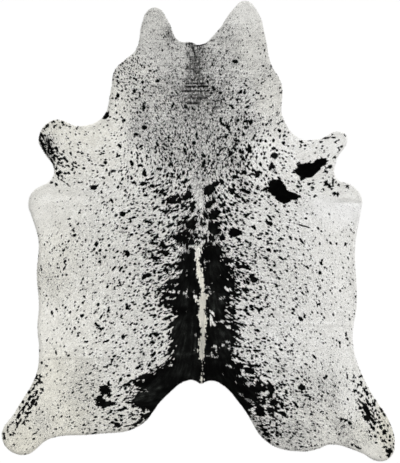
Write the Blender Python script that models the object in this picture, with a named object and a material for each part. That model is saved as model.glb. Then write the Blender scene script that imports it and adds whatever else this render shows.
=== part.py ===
"""Whole hair-on cowhide, laid out flat as a floor rug.

One flat piece. Its edge runs round the two ear flaps, the forelegs, the elbows, the hind legs
and the tail. +Y points to the head, +X to the hide's right-hand side as seen from above, and +Z
is up, out of the hair. The origin lies on the floor under the middle of the piece.
"""

import bpy
from mathutils import Vector

# ------------------------------------------------------------------ driving sizes, in metres
LEATHER_THICKNESS = 0.002
HAIR_LAY = 0.004
EDGE_ROUND = 0.0015

HIDE_THICKNESS = LEATHER_THICKNESS + HAIR_LAY

STEPS_PER_STRETCH = 5
EDGE_ROUND_STEPS = 1

COAT_COLOUR = (0.56, 0.55, 0.52, 1.0)
COAT_ROUGHNESS = 0.62
COAT_METALLIC = 0.0

MILLIMETRE = 0.001

# ------------------------------------------------------------------ the cut edge of the hide
# Clockwise from above. Columns: landmark, across and along, both in millimetres. "across" is
# measured from the spine line and "along" from the lowest point of the hind legs to the head.
HEAD_EDGE = (
    ("neck, left", -310, 2050),
    ("ear flap, left outer side", -277, 2188),
    ("ear flap, left outer corner", -250, 2246),
    ("ear flap, left tip", -208, 2259),
    ("ear flap, left inner side", -154, 2192),
    ("foot of left ear flap", -103, 2096),
    ("poll, left", -36, 2086),
    ("poll, right", 8, 2073),
    ("foot of right ear flap", 98, 2143),
    ("ear flap, right inner side", 177, 2253),
    ("ear flap, right tip", 232, 2294),
    ("ear flap, right outer side", 290, 2247),
    ("cheek, right", 331, 2115),
    ("throat, right", 358, 1983),
    ("neck, right", 412, 1880),
    ("shoulder, right", 419, 1712),
)
RIGHT_FORELEG_EDGE = (
    ("front bay, right", 515, 1601),
    ("foreleg, right upper side", 610, 1605),
    ("foreleg, right tip", 710, 1640),
    ("foreleg, right corner", 740, 1612),
    ("foreleg, right under side", 688, 1505),
    ("armpit, right", 683, 1413),
    ("elbow, right upper side", 772, 1365),
    ("elbow, right", 813, 1306),
    ("elbow, right lower side", 808, 1246),
)
RIGHT_FLANK_EDGE = (
    ("belly, right front", 781, 1085),
    ("belly, right middle", 787, 785),
    ("groin, right", 768, 585),
    ("thigh, right", 838, 377),
    ("hock, right", 952, 187),
)
RIGHT_HIND_EDGE = (
    ("hind leg, right outer side", 978, 88),
    ("hind leg, right corner", 960, 22),
    ("hind leg, right tip", 908, 0),
    ("hind leg, right inner side", 803, 47),
    ("inner thigh, right hollow", 657, 83),
    ("inner thigh, right rise", 592, 60),
    ("inner thigh, right swell", 510, 49),
    ("buttock, right", 350, 93),
    ("rear bay, right side", 225, 268),
    ("rear bay, right shoulder", 107, 391),
    ("beside the tail, right", 60, 403),
)
TAIL_EDGE = (
    ("foot of the tail, right", 33, 396),
    ("tail stub", 14, 387),
    ("foot of the tail, left", -5, 397),
    ("beside the tail, left", -41, 407),
)
LEFT_HIND_EDGE = (
    ("rear bay, left side", -170, 320),
    ("buttock, left", -302, 173),
    ("inner thigh, left swell", -517, 135),
    ("inner thigh, left hollow", -742, 113),
    ("hind leg, left inner side", -882, 31),
    ("hind leg, left tip", -977, 110),
    ("hock, left", -907, 248),
    ("thigh, left", -804, 437),
)
LEFT_FLANK_EDGE = (
    ("groin, left", -792, 550),
    ("belly, left rear", -800, 665),
    ("belly, left middle", -793, 770),
    ("belly, left swell", -803, 935),
    ("belly, left front", -795, 1100),
    ("elbow, left lower side", -829, 1222),
    ("elbow, left", -845, 1274),
    ("elbow, left upper side", -827, 1337),
)
LEFT_FORELEG_EDGE = (
    ("armpit, left lower side", -732, 1402),
    ("armpit, left", -717, 1455),
    ("foreleg, left under side", -776, 1555),
    ("foreleg, left corner", -794, 1610),
    ("foreleg, left tip", -725, 1696),
    ("front bay, left", -592, 1666),
    ("shoulder, left", -476, 1713),
    ("neck, left lower part", -433, 1850),
    ("neck, left upper part", -414, 1950),
    ("throat, left", -362, 2002),
)
HIDE_EDGE = (
    HEAD_EDGE + RIGHT_FORELEG_EDGE + RIGHT_FLANK_EDGE + RIGHT_HIND_EDGE
    + TAIL_EDGE + LEFT_HIND_EDGE + LEFT_FLANK_EDGE + LEFT_FORELEG_EDGE
)


def clear_scene():
    for item in list(bpy.data.objects):
        bpy.data.objects.remove(item, do_unlink=True)


def coat_material():
    material = bpy.data.materials.new("cowhide_coat")
    material.use_nodes = True
    shader = material.node_tree.nodes["Principled BSDF"]
    shader.inputs["Base Color"].default_value = COAT_COLOUR
    shader.inputs["Roughness"].default_value = COAT_ROUGHNESS
    shader.inputs["Metallic"].default_value = COAT_METALLIC
    material.diffuse_color = COAT_COLOUR
    return material


def flat_outline(name, landmarks):
    """A flat curve through the landmarks, filled, as thick as the hide and rounded at its edge."""
    curve = bpy.data.curves.new(name, "CURVE")
    curve.dimensions = "2D"
    curve.fill_mode = "BOTH"
    curve.resolution_u = STEPS_PER_STRETCH
    curve.extrude = HIDE_THICKNESS / 2 - EDGE_ROUND
    curve.bevel_depth = EDGE_ROUND
    curve.bevel_resolution = EDGE_ROUND_STEPS
    curve.offset = -EDGE_ROUND

    edge = curve.splines.new("BEZIER")
    edge.bezier_points.add(len(landmarks) - 1)
    edge.use_cyclic_u = True
    for point, (_, across, along) in zip(edge.bezier_points, landmarks):
        point.co = (across * MILLIMETRE, along * MILLIMETRE, 0.0)
        point.handle_left_type = "AUTO"
        point.handle_right_type = "AUTO"
    return bpy.data.objects.new(name, curve)


def stand_on_origin(item):
    """Moves the item so that the origin is on the floor under the middle of its box."""
    bpy.context.view_layer.update()
    corners = [Vector(corner) for corner in item.bound_box]
    lowest = Vector([min(corner[axis] for corner in corners) for axis in range(3)])
    highest = Vector([max(corner[axis] for corner in corners) for axis in range(3)])
    middle = (lowest + highest) / 2
    item.location = (-middle.x, -middle.y, -lowest.z)


def main():
    clear_scene()
    collection = bpy.data.collections.new("cowhide_rug")
    bpy.context.scene.collection.children.link(collection)

    hide = flat_outline("cowhide", HIDE_EDGE)
    hide.data.materials.append(coat_material())
    collection.objects.link(hide)
    stand_on_origin(hide)


main()
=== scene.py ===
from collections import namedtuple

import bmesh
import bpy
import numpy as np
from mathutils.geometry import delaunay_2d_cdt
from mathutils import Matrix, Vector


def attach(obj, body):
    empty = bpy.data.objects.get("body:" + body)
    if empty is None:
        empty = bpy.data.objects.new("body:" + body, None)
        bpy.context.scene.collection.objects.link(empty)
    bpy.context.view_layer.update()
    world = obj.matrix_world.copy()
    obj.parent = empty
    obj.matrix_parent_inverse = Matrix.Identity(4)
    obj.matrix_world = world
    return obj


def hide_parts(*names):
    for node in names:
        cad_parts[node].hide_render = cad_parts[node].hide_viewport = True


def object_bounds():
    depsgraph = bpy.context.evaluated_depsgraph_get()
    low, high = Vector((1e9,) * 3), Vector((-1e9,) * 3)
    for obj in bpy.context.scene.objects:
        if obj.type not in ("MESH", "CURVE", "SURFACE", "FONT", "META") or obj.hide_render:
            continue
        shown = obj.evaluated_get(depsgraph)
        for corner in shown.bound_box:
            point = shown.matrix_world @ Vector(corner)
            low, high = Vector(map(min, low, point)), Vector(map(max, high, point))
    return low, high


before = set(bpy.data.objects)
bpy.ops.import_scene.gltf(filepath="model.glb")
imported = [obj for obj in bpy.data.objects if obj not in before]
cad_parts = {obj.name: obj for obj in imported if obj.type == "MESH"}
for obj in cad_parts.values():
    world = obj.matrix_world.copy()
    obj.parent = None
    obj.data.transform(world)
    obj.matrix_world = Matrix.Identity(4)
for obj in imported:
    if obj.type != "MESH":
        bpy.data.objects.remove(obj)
cad_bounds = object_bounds()

# A whole cowhide with its hair on, laid flat on the floor, hair side up.
#
# The hide is one closed sheet of leather, suede side down. On it lies a coat of hairs in six
# lengthwise strips. Each hair is one slim triangle, from its root to a pointed tip. The colouring
# is worked out once, as a map of the coat, and both the hairs and the skin read it.
#
# Places on the hide are given in the picture's frame: u to the right and v down, in picture
# pixels. One pixel is 5 mm of hide. Other sizes are in metres, and angles in degrees.

# ------------------------------------------------------------------ the picture's frame
PICTURE_U = 400
PICTURE_V = 463
PIXEL = 0.005
SPINE_U = 198.45
MIDDLE_V = 230.85

# The coat's maps have cells of this many pixels. Its guide fields are coarser.
CELL = 0.4
GUIDE_STEP = 4.0
COLUMNS = int(PICTURE_U / CELL)
ROWS = int(PICTURE_V / CELL)

# ------------------------------------------------------------------ sizes of the leather
LEATHER = 0.002
# The rim is this share as thick. THINNEST is what is left of a height past the rim, where only
# hair hangs over.
RIM = 0.35
THINNEST = 0.15
# The CAD edge is rounded over this height. The leather's outline runs a little outside it.
EDGE_ROUND = 0.0015
EDGE_STEPS = 4
TRIM_OUT = 0.003
SAME_PLACE = 1e-5
SAME_HEIGHT = 1e-4

# Points of the skin and of the suede lie a step apart, each moved by up to its loose share.
SKIN_STEP = 0.0068
SKIN_LOOSE = 0.18
SUEDE_STEP = 0.030
SUEDE_LOOSE = 0.1
SUEDE_SHADES = (0.9, 1.08)
# How far in a place looks to the footprint: 0.5 at the edge and 1 from about 8 mm inside. The
# hide is down to its rim at EDGE_LOOK, and has its full height FLAT_BY above that.
EDGE_LOOK = 0.5
FLAT_BY = 0.45
SKIN_INSIDE = 0.88
WELL_INSIDE = 0.99
# Between staggered rows, as a share of the step within a row.
ROW_STEP = 0.866

# ------------------------------------------------------------------ sizes of the hair
HAIR_STEP = 0.00204
HAIR_LOOSE = 0.5
HAIR_WIDTH = 0.0018
HAIR_LENGTH = 0.0092
HAIR_LENGTHS = (0.65, 1.15)
# Finer grain has shorter hair, within this range.
COARSE_GRAIN = 1.05
COARSENESS = (0.5, 1.05)
# A hair whose tip is past TOO_FAR_OUT is cut shorter, twice at most. It is left out if its tip
# is past FARTHEST_OUT even then.
TRIMMED = (0.7, 0.6)
TOO_FAR_OUT = 0.06
FARTHEST_OUT = 0.01
HAIR_RISE = 0.0030
LOWEST_RISE = 0.35
RISE_SPREAD = 0.75
ROOT_RISE = 0.1
# How far hairs stray from the lie, and how far they turn outward at the edge, in radians.
STRAY = 0.16
SPLAY = 0.6
SPLAY_BY = 0.4
# Where along a hair its colour is taken from.
SEEN_AT = 0.55
# Each hair's field of its strip's texture has this margin, as a share of the field.
FIELD_INSET = 0.12
STRIPS = ("left_belly", "left_side", "left_back", "right_back", "right_side", "right_belly")

# ------------------------------------------------------------------ colours
WHITE_HAIR = np.array((0.913, 0.908, 0.883))
BLACK_HAIR = np.array((0.0022, 0.0024, 0.0022))
CREAM_CAST = np.array((0.03, 0.005, -0.10))
SUEDE = np.array((0.52, 0.47, 0.41))
# The skin under the hair is painted this share as light as the hair: painted shade under the hair.
SHADE_UNDER_HAIR = 0.62
GREY_HAIR = 0.16
ROOT_SHADE = 0.86
TIP_SHADE = 1.05
SHADE_RANGE = (0.05, 1.3)
# How much darker the stripe's hair is.
STRIPE_SHADE = 0.16
# How light white hair is away from black, and how much lighter in the middle of black.
AWAY_FROM_BLACK = 0.982
NEAR_BLACK = 0.18
BUMP_STRENGTH = 0.6

# Painted shade at the rim: how much darker the hair's colour is painted there, and how much of that it
# has all round, more where the rim faces the tail and more where it faces left, away from the lamp.
RIM_SHADE = 0.46
RIM_ALL = 0.35
RIM_TAIL = 0.65
RIM_LEFT = 0.40

# Painted sheen on black hair: how light its colour is painted, as a share of its usual colour,
# and how much that varies.
USUAL_SHEEN = 0.95
SHEEN_RANGE = (0.2, 5)
SHEEN_CLUMPS = 0.45
SHEEN_STRANDS = 0.35
BLACK_SPREAD = 0.4

# How much the shade of white hair varies: from hair to hair, and with the fine noise and the
# strands. CALM is for bare places. LIVELY comes on top among the speckles and in the stripe.
Variety = namedtuple("Variety", "single fine strands")
CALM = Variety(0.045, 0.025, 0.03)
LIVELY = Variety(0.055, 0.075, 0.09)
SPECKLED_COVER = 0.12
# Grey hairs come in mottles, and few are in the stripe.
MOTTLE_FINE = 0.5
MOTTLE_STRANDS = 0.3
STRIPE_CLEAR_OF_GREY = 0.85
# Ahead of this v the stripe's hair is like other white hair. It changes over so many pixels.
STRIPE_HAIR_FROM = 235
STRIPE_HAIR_OVER = 20
# The ground between speckles is a little paler, up to half covered.
PALER_IN_COVER = 0.05
HALF_COVERED = 0.5

# ------------------------------------------------------------------ noise in the coat
# grain is its blur in cells, and comb how many cells it is drawn out each way along the hair.
Noise = namedtuple("Noise", "grain comb")
FINE = Noise(1.1, 1)
STRANDS = Noise(1.0, 15)
CLUMPS = Noise(3.0, 5)
SMUDGES = Noise(9.0, 4)
WRINKLES = Noise(0.9, 14)

COAT_SEED = 41
LEATHER_SEED = 7
HAIR_SEED = 19

# Shares of each noise in the ragged edges of the black, and of the stripe.
EDGE_FINE = 0.5
EDGE_STRANDS = 0.85
EDGE_CLUMPS = 0.45
STRIPE_FINE = 0.8
STRIPE_STRANDS = 0.6
# Broad smudges in the white, as shares of its lightness.
SMUDGE = 0.022
CLUMP_SMUDGE = 0.012

# Levels of black are in steps of the noise. Past CLEAR no noise changes them.
CLEAR = 4
NOWHERE = -9
# A hair is black where the map is darker than a draw from this range.
BLACK_FROM = (0.15, 0.85)
# Over how many cells white hair beside black is a little lighter.
BESIDE_BLACK = 2.0

# ------------------------------------------------------------------ the studio
FLOOR_GREY = 0.885
FLOOR_SIZE = 60
FLOOR_DROP = 0.0004
SKY_STRENGTH = 0.80
LAMP_STRENGTH = 1.40
LAMP_WIDTH = 25
LAMP_TILT = (-36, 4, 0)
CAMERA_HEIGHT = 8.0
CAMERA_SENSOR = 36
CAMERA_SEES = 50

# ------------------------------------------------------------------ the tables' columns
Lie = namedtuple("Lie", "u v heading")
Area = namedtuple("Area", "u v reach_u reach_v cover grain roan tone warmth")
Station = namedtuple("Station", "v left right")
Strand = namedtuple("Strand", "v left right fullness cream")
Patch = namedtuple("Patch", "u v half_length half_width slant ragged")
Mark = namedtuple("Mark", "u v half_length half_width slant")
Fleck = namedtuple("Fleck", "u v half_length half_width slant ragged share")
Crease = namedtuple("Crease", "u0 v0 u1 v1 width depth shade")
Swell = namedtuple("Swell", "u v reach_u reach_v height")
Sheen = namedtuple("Sheen", "u v reach_u reach_v lightness")

# ------------------------------------------------------------------ the lie of the hair
# heading is in degrees clockwise from the picture's right, so 90 points to the tail. The weight
# of an entry is down to a quarter this many pixels away.
LIE_REACH = 10
LIE_OF_THE_HAIR = [Lie(*row) for row in (
    (150, 20, 80), (245, 15, 100), (160, 60, 62), (240, 60, 118), (199, 60, 90), (130, 90, 55),
    (165, 95, 60), (199, 100, 90), (235, 95, 122), (268, 95, 125), (140, 140, 70), (170, 150, 64),
    (199, 150, 90), (230, 150, 112), (262, 140, 110), (47, 133, 226), (62, 150, 222), (85, 145, 205),
    (105, 150, 170), (340, 140, -40), (315, 160, -22), (290, 160, 30), (58, 180, 212), (335, 180, -20),
    (120, 180, 120), (155, 185, 140), (185, 185, 112), (214, 185, 68), (245, 185, 40), (285, 190, 28),
    (40, 200, 150), (70, 205, 135), (110, 210, 140), (145, 215, 168), (180, 215, 150), (355, 200, 25),
    (320, 210, 42), (280, 215, 26), (250, 215, 14), (220, 215, 40), (45, 250, 104), (85, 250, 122),
    (110, 255, 128), (140, 255, 154), (165, 255, 168), (190, 255, 96), (350, 250, 78), (320, 250, 64),
    (290, 250, 38), (260, 250, 18), (235, 250, 10), (208, 255, 84), (45, 310, 98), (85, 310, 128),
    (110, 310, 138), (140, 310, 154), (165, 310, 164), (190, 310, 92), (350, 310, 80), (320, 310, 62),
    (290, 310, 44), (260, 310, 28), (235, 310, 20), (208, 310, 87), (45, 360, 100), (85, 355, 150),
    (125, 355, 155), (160, 360, 152), (190, 360, 94), (350, 360, 74), (320, 360, 44), (280, 360, 30),
    (240, 360, 22), (212, 360, 84), (35, 385, 122), (12, 430, 124), (55, 410, 126), (85, 405, 164),
    (115, 410, 170), (145, 400, 168), (365, 385, 82), (388, 440, 66), (360, 415, 68), (330, 410, 42),
    (295, 415, 20), (260, 410, 24), (180, 375, 112), (203, 370, 90), (225, 378, 60),
)]

# ------------------------------------------------------------------ the colouring of the coat
# cover: share of the area under black speckles; grain: half a speckle's width, in pixels
# roan: share of grey hairs among the white; tone: lightness of the ground; warmth: cream in it
# reach is where an area's weight is down to about a third.
COAT_AREAS = [Area(*row) for row in (
    # head and neck
    (150, 26, 10, 16, 0.02, 0.5, 0.24, 0.94, 0.1), (154, 13, 8, 4, 0, 0.5, 0.36, 0.9, 0.1),
    (169, 42, 6, 10, 0.1, 0.6, 0.6, 0.88, 0.05), (246, 14, 14, 16, 0, 0.5, 0.08, 1.02, 0.05),
    (225, 35, 12, 14, 0.04, 0.55, 0.36, 0.9, 0.05), (250, 50, 14, 22, 0.06, 0.6, 0.14, 0.92, 0.15),
    (165, 55, 18, 12, 0.07, 0.52, 0.25, 0.93, 0.05), (130, 75, 18, 14, 0.3, 0.62, 0.16, 0.94, 0.2),
    (194, 50, 6, 8, 0.34, 0.5, 0.85, 0.79, 0), (196, 70, 7, 12, 0.34, 0.5, 0.82, 0.8, 0),
    (176, 78, 10, 20, 0.18, 0.58, 0.52, 0.88, 0), (222, 72, 14, 16, 0.18, 0.62, 0.4, 0.89, 0),
    (194, 95, 12, 14, 0.36, 0.55, 0.8, 0.81, 0), (216, 94, 10, 12, 0.32, 0.72, 0.55, 0.85, 0),
    (150, 100, 18, 18, 0.24, 0.66, 0.32, 0.94, 0.1), (240, 98, 12, 14, 0.25, 0.8, 0.32, 0.91, 0),
    (268, 95, 10, 20, 0.06, 0.75, 0.14, 0.95, 0.2), (120, 105, 10, 18, 0.16, 0.78, 0.06, 0.96, 0.3),
    (104, 120, 8, 8, 0.03, 0.55, 0.03, 1, 0.3), (192, 118, 14, 12, 0.25, 0.66, 0.5, 0.9, 0),
    (240, 125, 16, 12, 0.31, 0.82, 0.38, 0.94, 0), (150, 130, 14, 14, 0.25, 0.7, 0.45, 0.94, 0),
    (275, 125, 9, 12, 0.14, 0.8, 0.14, 0.98, 0.1), (272, 145, 8, 8, 0.08, 0.8, 0.03, 1.08, 0.1),
    (200, 140, 20, 14, 0.29, 0.7, 0.47, 0.92, 0),
    # forelegs and shoulders
    (85, 137, 22, 12, 0.05, 0.6, 0.03, 1.04, 0.45), (100, 155, 18, 16, 0.11, 0.68, 0.04, 1.03, 0.3),
    (55, 128, 12, 6, 0.1, 0.6, 0.06, 0.98, 0.5), (66, 160, 12, 14, 0.1, 0.7, 0.07, 1, 0.35),
    (48, 146, 6, 10, 0.5, 0.6, 0.2, 0.91, 0.3), (315, 150, 18, 10, 0.09, 0.75, 0.04, 1.11, 0.05),
    (340, 144, 9, 10, 0, 0.6, 0.03, 1.13, 0), (328, 180, 8, 10, 0.04, 0.6, 0.04, 1.06, 0.05),
    (292, 158, 14, 14, 0.13, 0.8, 0.03, 1.08, 0.05), (170, 158, 20, 12, 0.46, 0.78, 0.36, 0.9, 0.05),
    (228, 158, 16, 14, 0.48, 0.76, 0.44, 0.92, 0), (250, 152, 8, 10, 0.24, 0.8, 0.15, 1.01, 0),
    (262, 165, 12, 16, 0.26, 0.88, 0.08, 1.03, 0), (135, 165, 14, 18, 0.2, 0.82, 0.08, 0.98, 0.15),
    (165, 180, 18, 12, 0.52, 0.95, 0.25, 0.95, 0.05), (238, 185, 18, 12, 0.44, 0.9, 0.18, 0.99, 0),
    (199, 172, 6, 20, 0.28, 0.75, 0.5, 0.99, 0),
    # elbows: bare and pale
    (45, 205, 18, 20, 0, 0.6, 0.02, 0.99, 0.2), (75, 208, 16, 14, 0.04, 0.65, 0.04, 0.98, 0.2),
    # The second area on the next line, the thin band over the right elbow's fold, has a lower tone as
    # painted shade.
    (340, 212, 26, 12, 0, 0.6, 0.03, 1.12, -0.15), (350, 197, 14, 4, 0, 0.6, 0.06, 1.03, 0.1),
    # body
    (105, 215, 18, 26, 0.14, 0.75, 0.09, 0.96, 0.15), (140, 210, 14, 22, 0.27, 0.84, 0.12, 0.96, 0.1),
    (165, 215, 12, 14, 0.35, 0.95, 0.15, 0.95, 0.05), (182, 203, 12, 8, 0.47, 1, 0.23, 0.94, 0),
    (184, 232, 8, 16, 0.85, 1.1, 0.3, 0.94, 0), (214, 222, 9, 20, 0.65, 1.05, 0.28, 0.94, 0),
    (235, 212, 12, 14, 0.42, 1, 0.15, 0.96, 0), (262, 222, 14, 18, 0.22, 0.9, 0.09, 1.01, 0),
    (295, 228, 16, 20, 0.15, 0.72, 0.09, 1.04, 0), (330, 245, 20, 26, 0.04, 0.55, 0.06, 1.07, 0.05),
    (318, 262, 10, 12, 0.05, 0.6, 0.08, 1.05, 0.05), (60, 255, 16, 30, 0.09, 0.62, 0.07, 0.98, 0.4),
    (50, 282, 12, 16, 0.1, 0.6, 0.28, 0.94, 0.45), (95, 265, 20, 34, 0.14, 0.72, 0.13, 0.95, 0.25),
    (130, 268, 16, 34, 0.24, 0.85, 0.14, 0.96, 0.15), (202, 348, 5, 14, 0, 0.6, 0, 0.71, 0.2),
    (202, 310, 5, 18, 0, 0.6, 0, 0.92, 0.1), (173, 262, 6, 14, 0.61, 1.1, 0.15, 0.98, 0),
    (348, 446, 10, 7, 0.04, 0.6, 0.42, 1, 0.25), (343, 430, 8, 8, 0.06, 0.6, 0.52, 0.95, 0.2),
    (266, 74, 8, 8, 0.1, 0.65, 0.28, 0.92, 0.1), (52, 382, 7, 18, 0.02, 0.55, 0.04, 1, 0.6),
    (76, 394, 8, 6, 0.16, 0.6, 0.32, 0.92, 0.4), (154, 258, 10, 24, 0.55, 1, 0.19, 0.95, 0.1),
    (158, 300, 9, 30, 0.43, 1, 0.14, 0.95, 0.1), (245, 275, 8, 26, 0.56, 1.05, 0.15, 0.98, 0),
    (268, 270, 14, 30, 0.32, 0.88, 0.16, 1, 0.05), (300, 280, 20, 34, 0.18, 0.76, 0.15, 1.01, 0.05),
    (340, 290, 16, 34, 0.07, 0.7, 0.06, 1.02, 0.05), (46, 320, 10, 26, 0.02, 0.6, 0.02, 1.02, 0.3),
    (80, 325, 22, 30, 0.1, 0.75, 0.05, 0.98, 0.3), (120, 330, 20, 30, 0.15, 0.8, 0.12, 0.97, 0.15),
    (152, 340, 12, 26, 0.3, 0.95, 0.13, 0.95, 0.1), (245, 325, 12, 26, 0.27, 1, 0.15, 0.98, 0),
    (275, 335, 18, 30, 0.13, 0.8, 0.11, 1.02, 0), (315, 330, 20, 30, 0.06, 0.58, 0.1, 1.05, 0.05),
    (348, 335, 10, 24, 0.05, 0.7, 0.06, 1.05, 0.05),
    # rump and hind legs
    (60, 385, 18, 30, 0.05, 0.6, 0.08, 0.96, 0.6), (82, 385, 16, 18, 0.17, 0.65, 0.25, 0.93, 0.45),
    (115, 375, 18, 16, 0.15, 0.75, 0.1, 0.98, 0.2), (145, 362, 12, 8, 0.38, 0.95, 0.21, 0.93, 0.1),
    (118, 405, 18, 12, 0.37, 0.95, 0.15, 0.95, 0.25), (105, 422, 24, 8, 0.2, 0.72, 0.2, 0.95, 0.4),
    (65, 418, 22, 12, 0.09, 0.6, 0.12, 0.94, 0.7), (25, 442, 16, 12, 0.04, 0.55, 0.1, 0.93, 0.75),
    (28, 404, 8, 16, 0.06, 0.6, 0.08, 0.95, 0.6), (44, 420, 8, 10, 0.1, 0.55, 0.24, 0.9, 0.4),
    (247, 364, 12, 12, 0.73, 1.05, 0.15, 0.96, 0), (275, 375, 16, 14, 0.32, 0.85, 0.17, 0.96, 0.05),
    (274, 402, 14, 14, 0.59, 1.05, 0.17, 0.95, 0.1), (300, 396, 12, 14, 0.27, 0.78, 0.26, 0.97, 0.1),
    (325, 390, 18, 16, 0.16, 0.68, 0.29, 0.98, 0.1), (350, 390, 10, 24, 0.05, 0.6, 0.09, 1.05, 0.1),
    (368, 404, 9, 16, 0.08, 0.65, 0.05, 1, 0.25), (315, 415, 20, 12, 0.14, 0.7, 0.18, 0.98, 0.25),
    (270, 428, 12, 10, 0.3, 0.9, 0.38, 0.91, 0.1), (300, 430, 14, 10, 0.2, 0.7, 0.39, 0.94, 0.15),
    (330, 438, 18, 8, 0.13, 0.52, 0.1, 0.95, 0.25), (360, 434, 10, 10, 0.02, 0.6, 0.29, 0.98, 0.4),
    (368, 450, 12, 8, 0, 0.6, 0.06, 0.94, 0.3), (386, 425, 6, 18, 0.1, 0.65, 0.12, 0.91, 0.8),
)]
# What holds far from every area, and the weight it has everywhere.
OPEN_COAT = Area(0, 0, 0, 0, 0.10, 0.75, 0.12, 1.0, 0.15)
OPEN_COAT_WEIGHT = 0.02

# The black saddle over the back and the rump, from its left edge to its right edge.
SADDLE = [Station(*row) for row in (
    (243, 178, 222), (250, 184, 223), (255, 181, 226), (258, 180, 231), (262, 177, 235),
    (266, 173, 234), (270, 172, 235), (275, 167.5, 236), (280, 165.2, 236.5), (285, 164.4, 238.5),
    (290, 159.4, 237.5), (295, 157.5, 237.5), (300, 159.5, 236), (303, 161.5, 234), (305, 169, 235),
    (310, 169.2, 235.4), (315, 169.2, 233.6), (320, 169.2, 235), (324, 166.5, 239), (330, 169.2, 238.6),
    (336, 169.2, 238.6), (342, 167.4, 237.6), (348, 168.5, 234.2), (354, 167.5, 234), (360, 168, 235),
    (365, 163, 240), (368, 159, 246), (370.5, 153, 247), (373, 152, 246), (375, 141, 244),
    (377, 138, 247), (380, 134, 253), (382, 130.5, 254), (384, 129, 256), (386, 130, 267),
    (389, 133, 270), (392, 136, 266), (395, 132, 262), (398, 130, 263), (401, 129, 264),
    (404, 131, 262), (406, 134, 256), (408, 141, 254), (412, 145, 254), (416, 142, 255),
    (420, 139, 256),
)]
SADDLE_RAGGED = 3.6
SADDLE_TOP_RAGGED = 2

# The white stripe along the spine. Fullness is in steps of the noise: 4 is solid, 0 half strands.
STRIPE = [Strand(*row) for row in (
    (158, 194, 198, -2.6, 0), (166, 192, 201, -1.8, 0), (172, 190.5, 200, -0.8, 0),
    (178, 191, 202.5, -0.2, 0), (184, 192.5, 202.5, 0.6, 0), (190, 193, 202.5, 1, 0),
    (196, 193.5, 203, 1.6, 0), (200, 195.5, 205, 2, 0), (205, 196.8, 203.5, 1.4, 0),
    (210, 196, 203, 0.2, 0), (214, 194.5, 202, -0.3, 0), (218, 197.5, 203, -0.8, 0),
    (224, 198, 203.5, -1, 0), (230, 196.5, 205, -1.1, 0), (236, 194.5, 201.5, -0.9, 0),
    (241, 195.5, 202.5, -0.8, 0), (246, 193.5, 201.7, 0.6, 0.3), (250, 195.2, 201.7, 1.6, 0.3),
    (255, 194, 200.7, 2.2, 0.3), (260, 195.5, 198.7, 2.2, 0.6), (265, 196.2, 200.7, 2.2, 0.6),
    (270, 196.2, 201.7, 2, 0.6), (275, 197.2, 201.7, 1.2, 0.6), (278, 198.5, 202.7, 2, 0.6),
    (283, 199.8, 204.9, 2.4, 0.6), (288, 201, 205.7, 2.4, 0.6), (292.5, 201.3, 203.3, 2.4, 0.6),
    (295, 199.7, 207.7, 2.6, 0.6), (298.5, 199.2, 208.1, 2.6, 0.6), (301, 196.6, 204.3, 2.6, 0.6),
    (305, 199.2, 206.8, 2.6, 0.6), (310, 199.2, 204.5, 2.6, 0.6), (315, 197.6, 206.1, 2.6, 0.6),
    (319, 199.6, 206.3, 2.6, 0.6), (325, 200.3, 205.6, 2.6, 0.6), (332, 200.6, 205.6, 2.6, 0.6),
    (340, 199.6, 205.6, 2.6, 0.6), (345, 198.7, 204.8, 2.2, 0.6), (350, 198.4, 203.5, 2, 0.6),
    (355, 199.6, 204.1, 1.8, 0.6), (359, 200.3, 202.6, 1.2, 0.6), (361, 203.3, 203.7, -0.7, 0.6),
    (370, 203.3, 204, -0.9, 0.6), (374, 202, 203.4, -0.6, 0.6), (377, 201, 203.2, 1.6, 0.6),
    (384, 201.2, 203.4, 1.6, 0.6),
)]
STRIPE_RAGGED = 0.9
STRIPE_SOFT = 0.9

# Small black speckles, one to a step at most. Faint ones are only partly black.
SPECKLE_STEP = 1.7
SPECKLE_LOOSE = 0.42
SPECKLE_REACH = 3.2
SPECKLE_SOFT = 0.35
FAINT_SPECKLES = 0.2
FAINT_STRENGTH = (0.3, 0.6)
FULLEST_COVER = 0.97
GRAIN_SHARE = 0.95
SIZE_SPREAD = 0.28
# A speckle is up to this share longer than wide. On the neck it is drawn out less.
LONGEST = 0.7
NECK_DRAWN_OUT = 0.3
NECK_ENDS = 90
BODY_STARTS_AFTER = 90
# Speckles cover each other in part.
OVERLAP = 1.17

# Over the shoulders black and white run into each other through grey.
SMOKY = Swell(200, 212, 26, 32, 1.2)

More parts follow.
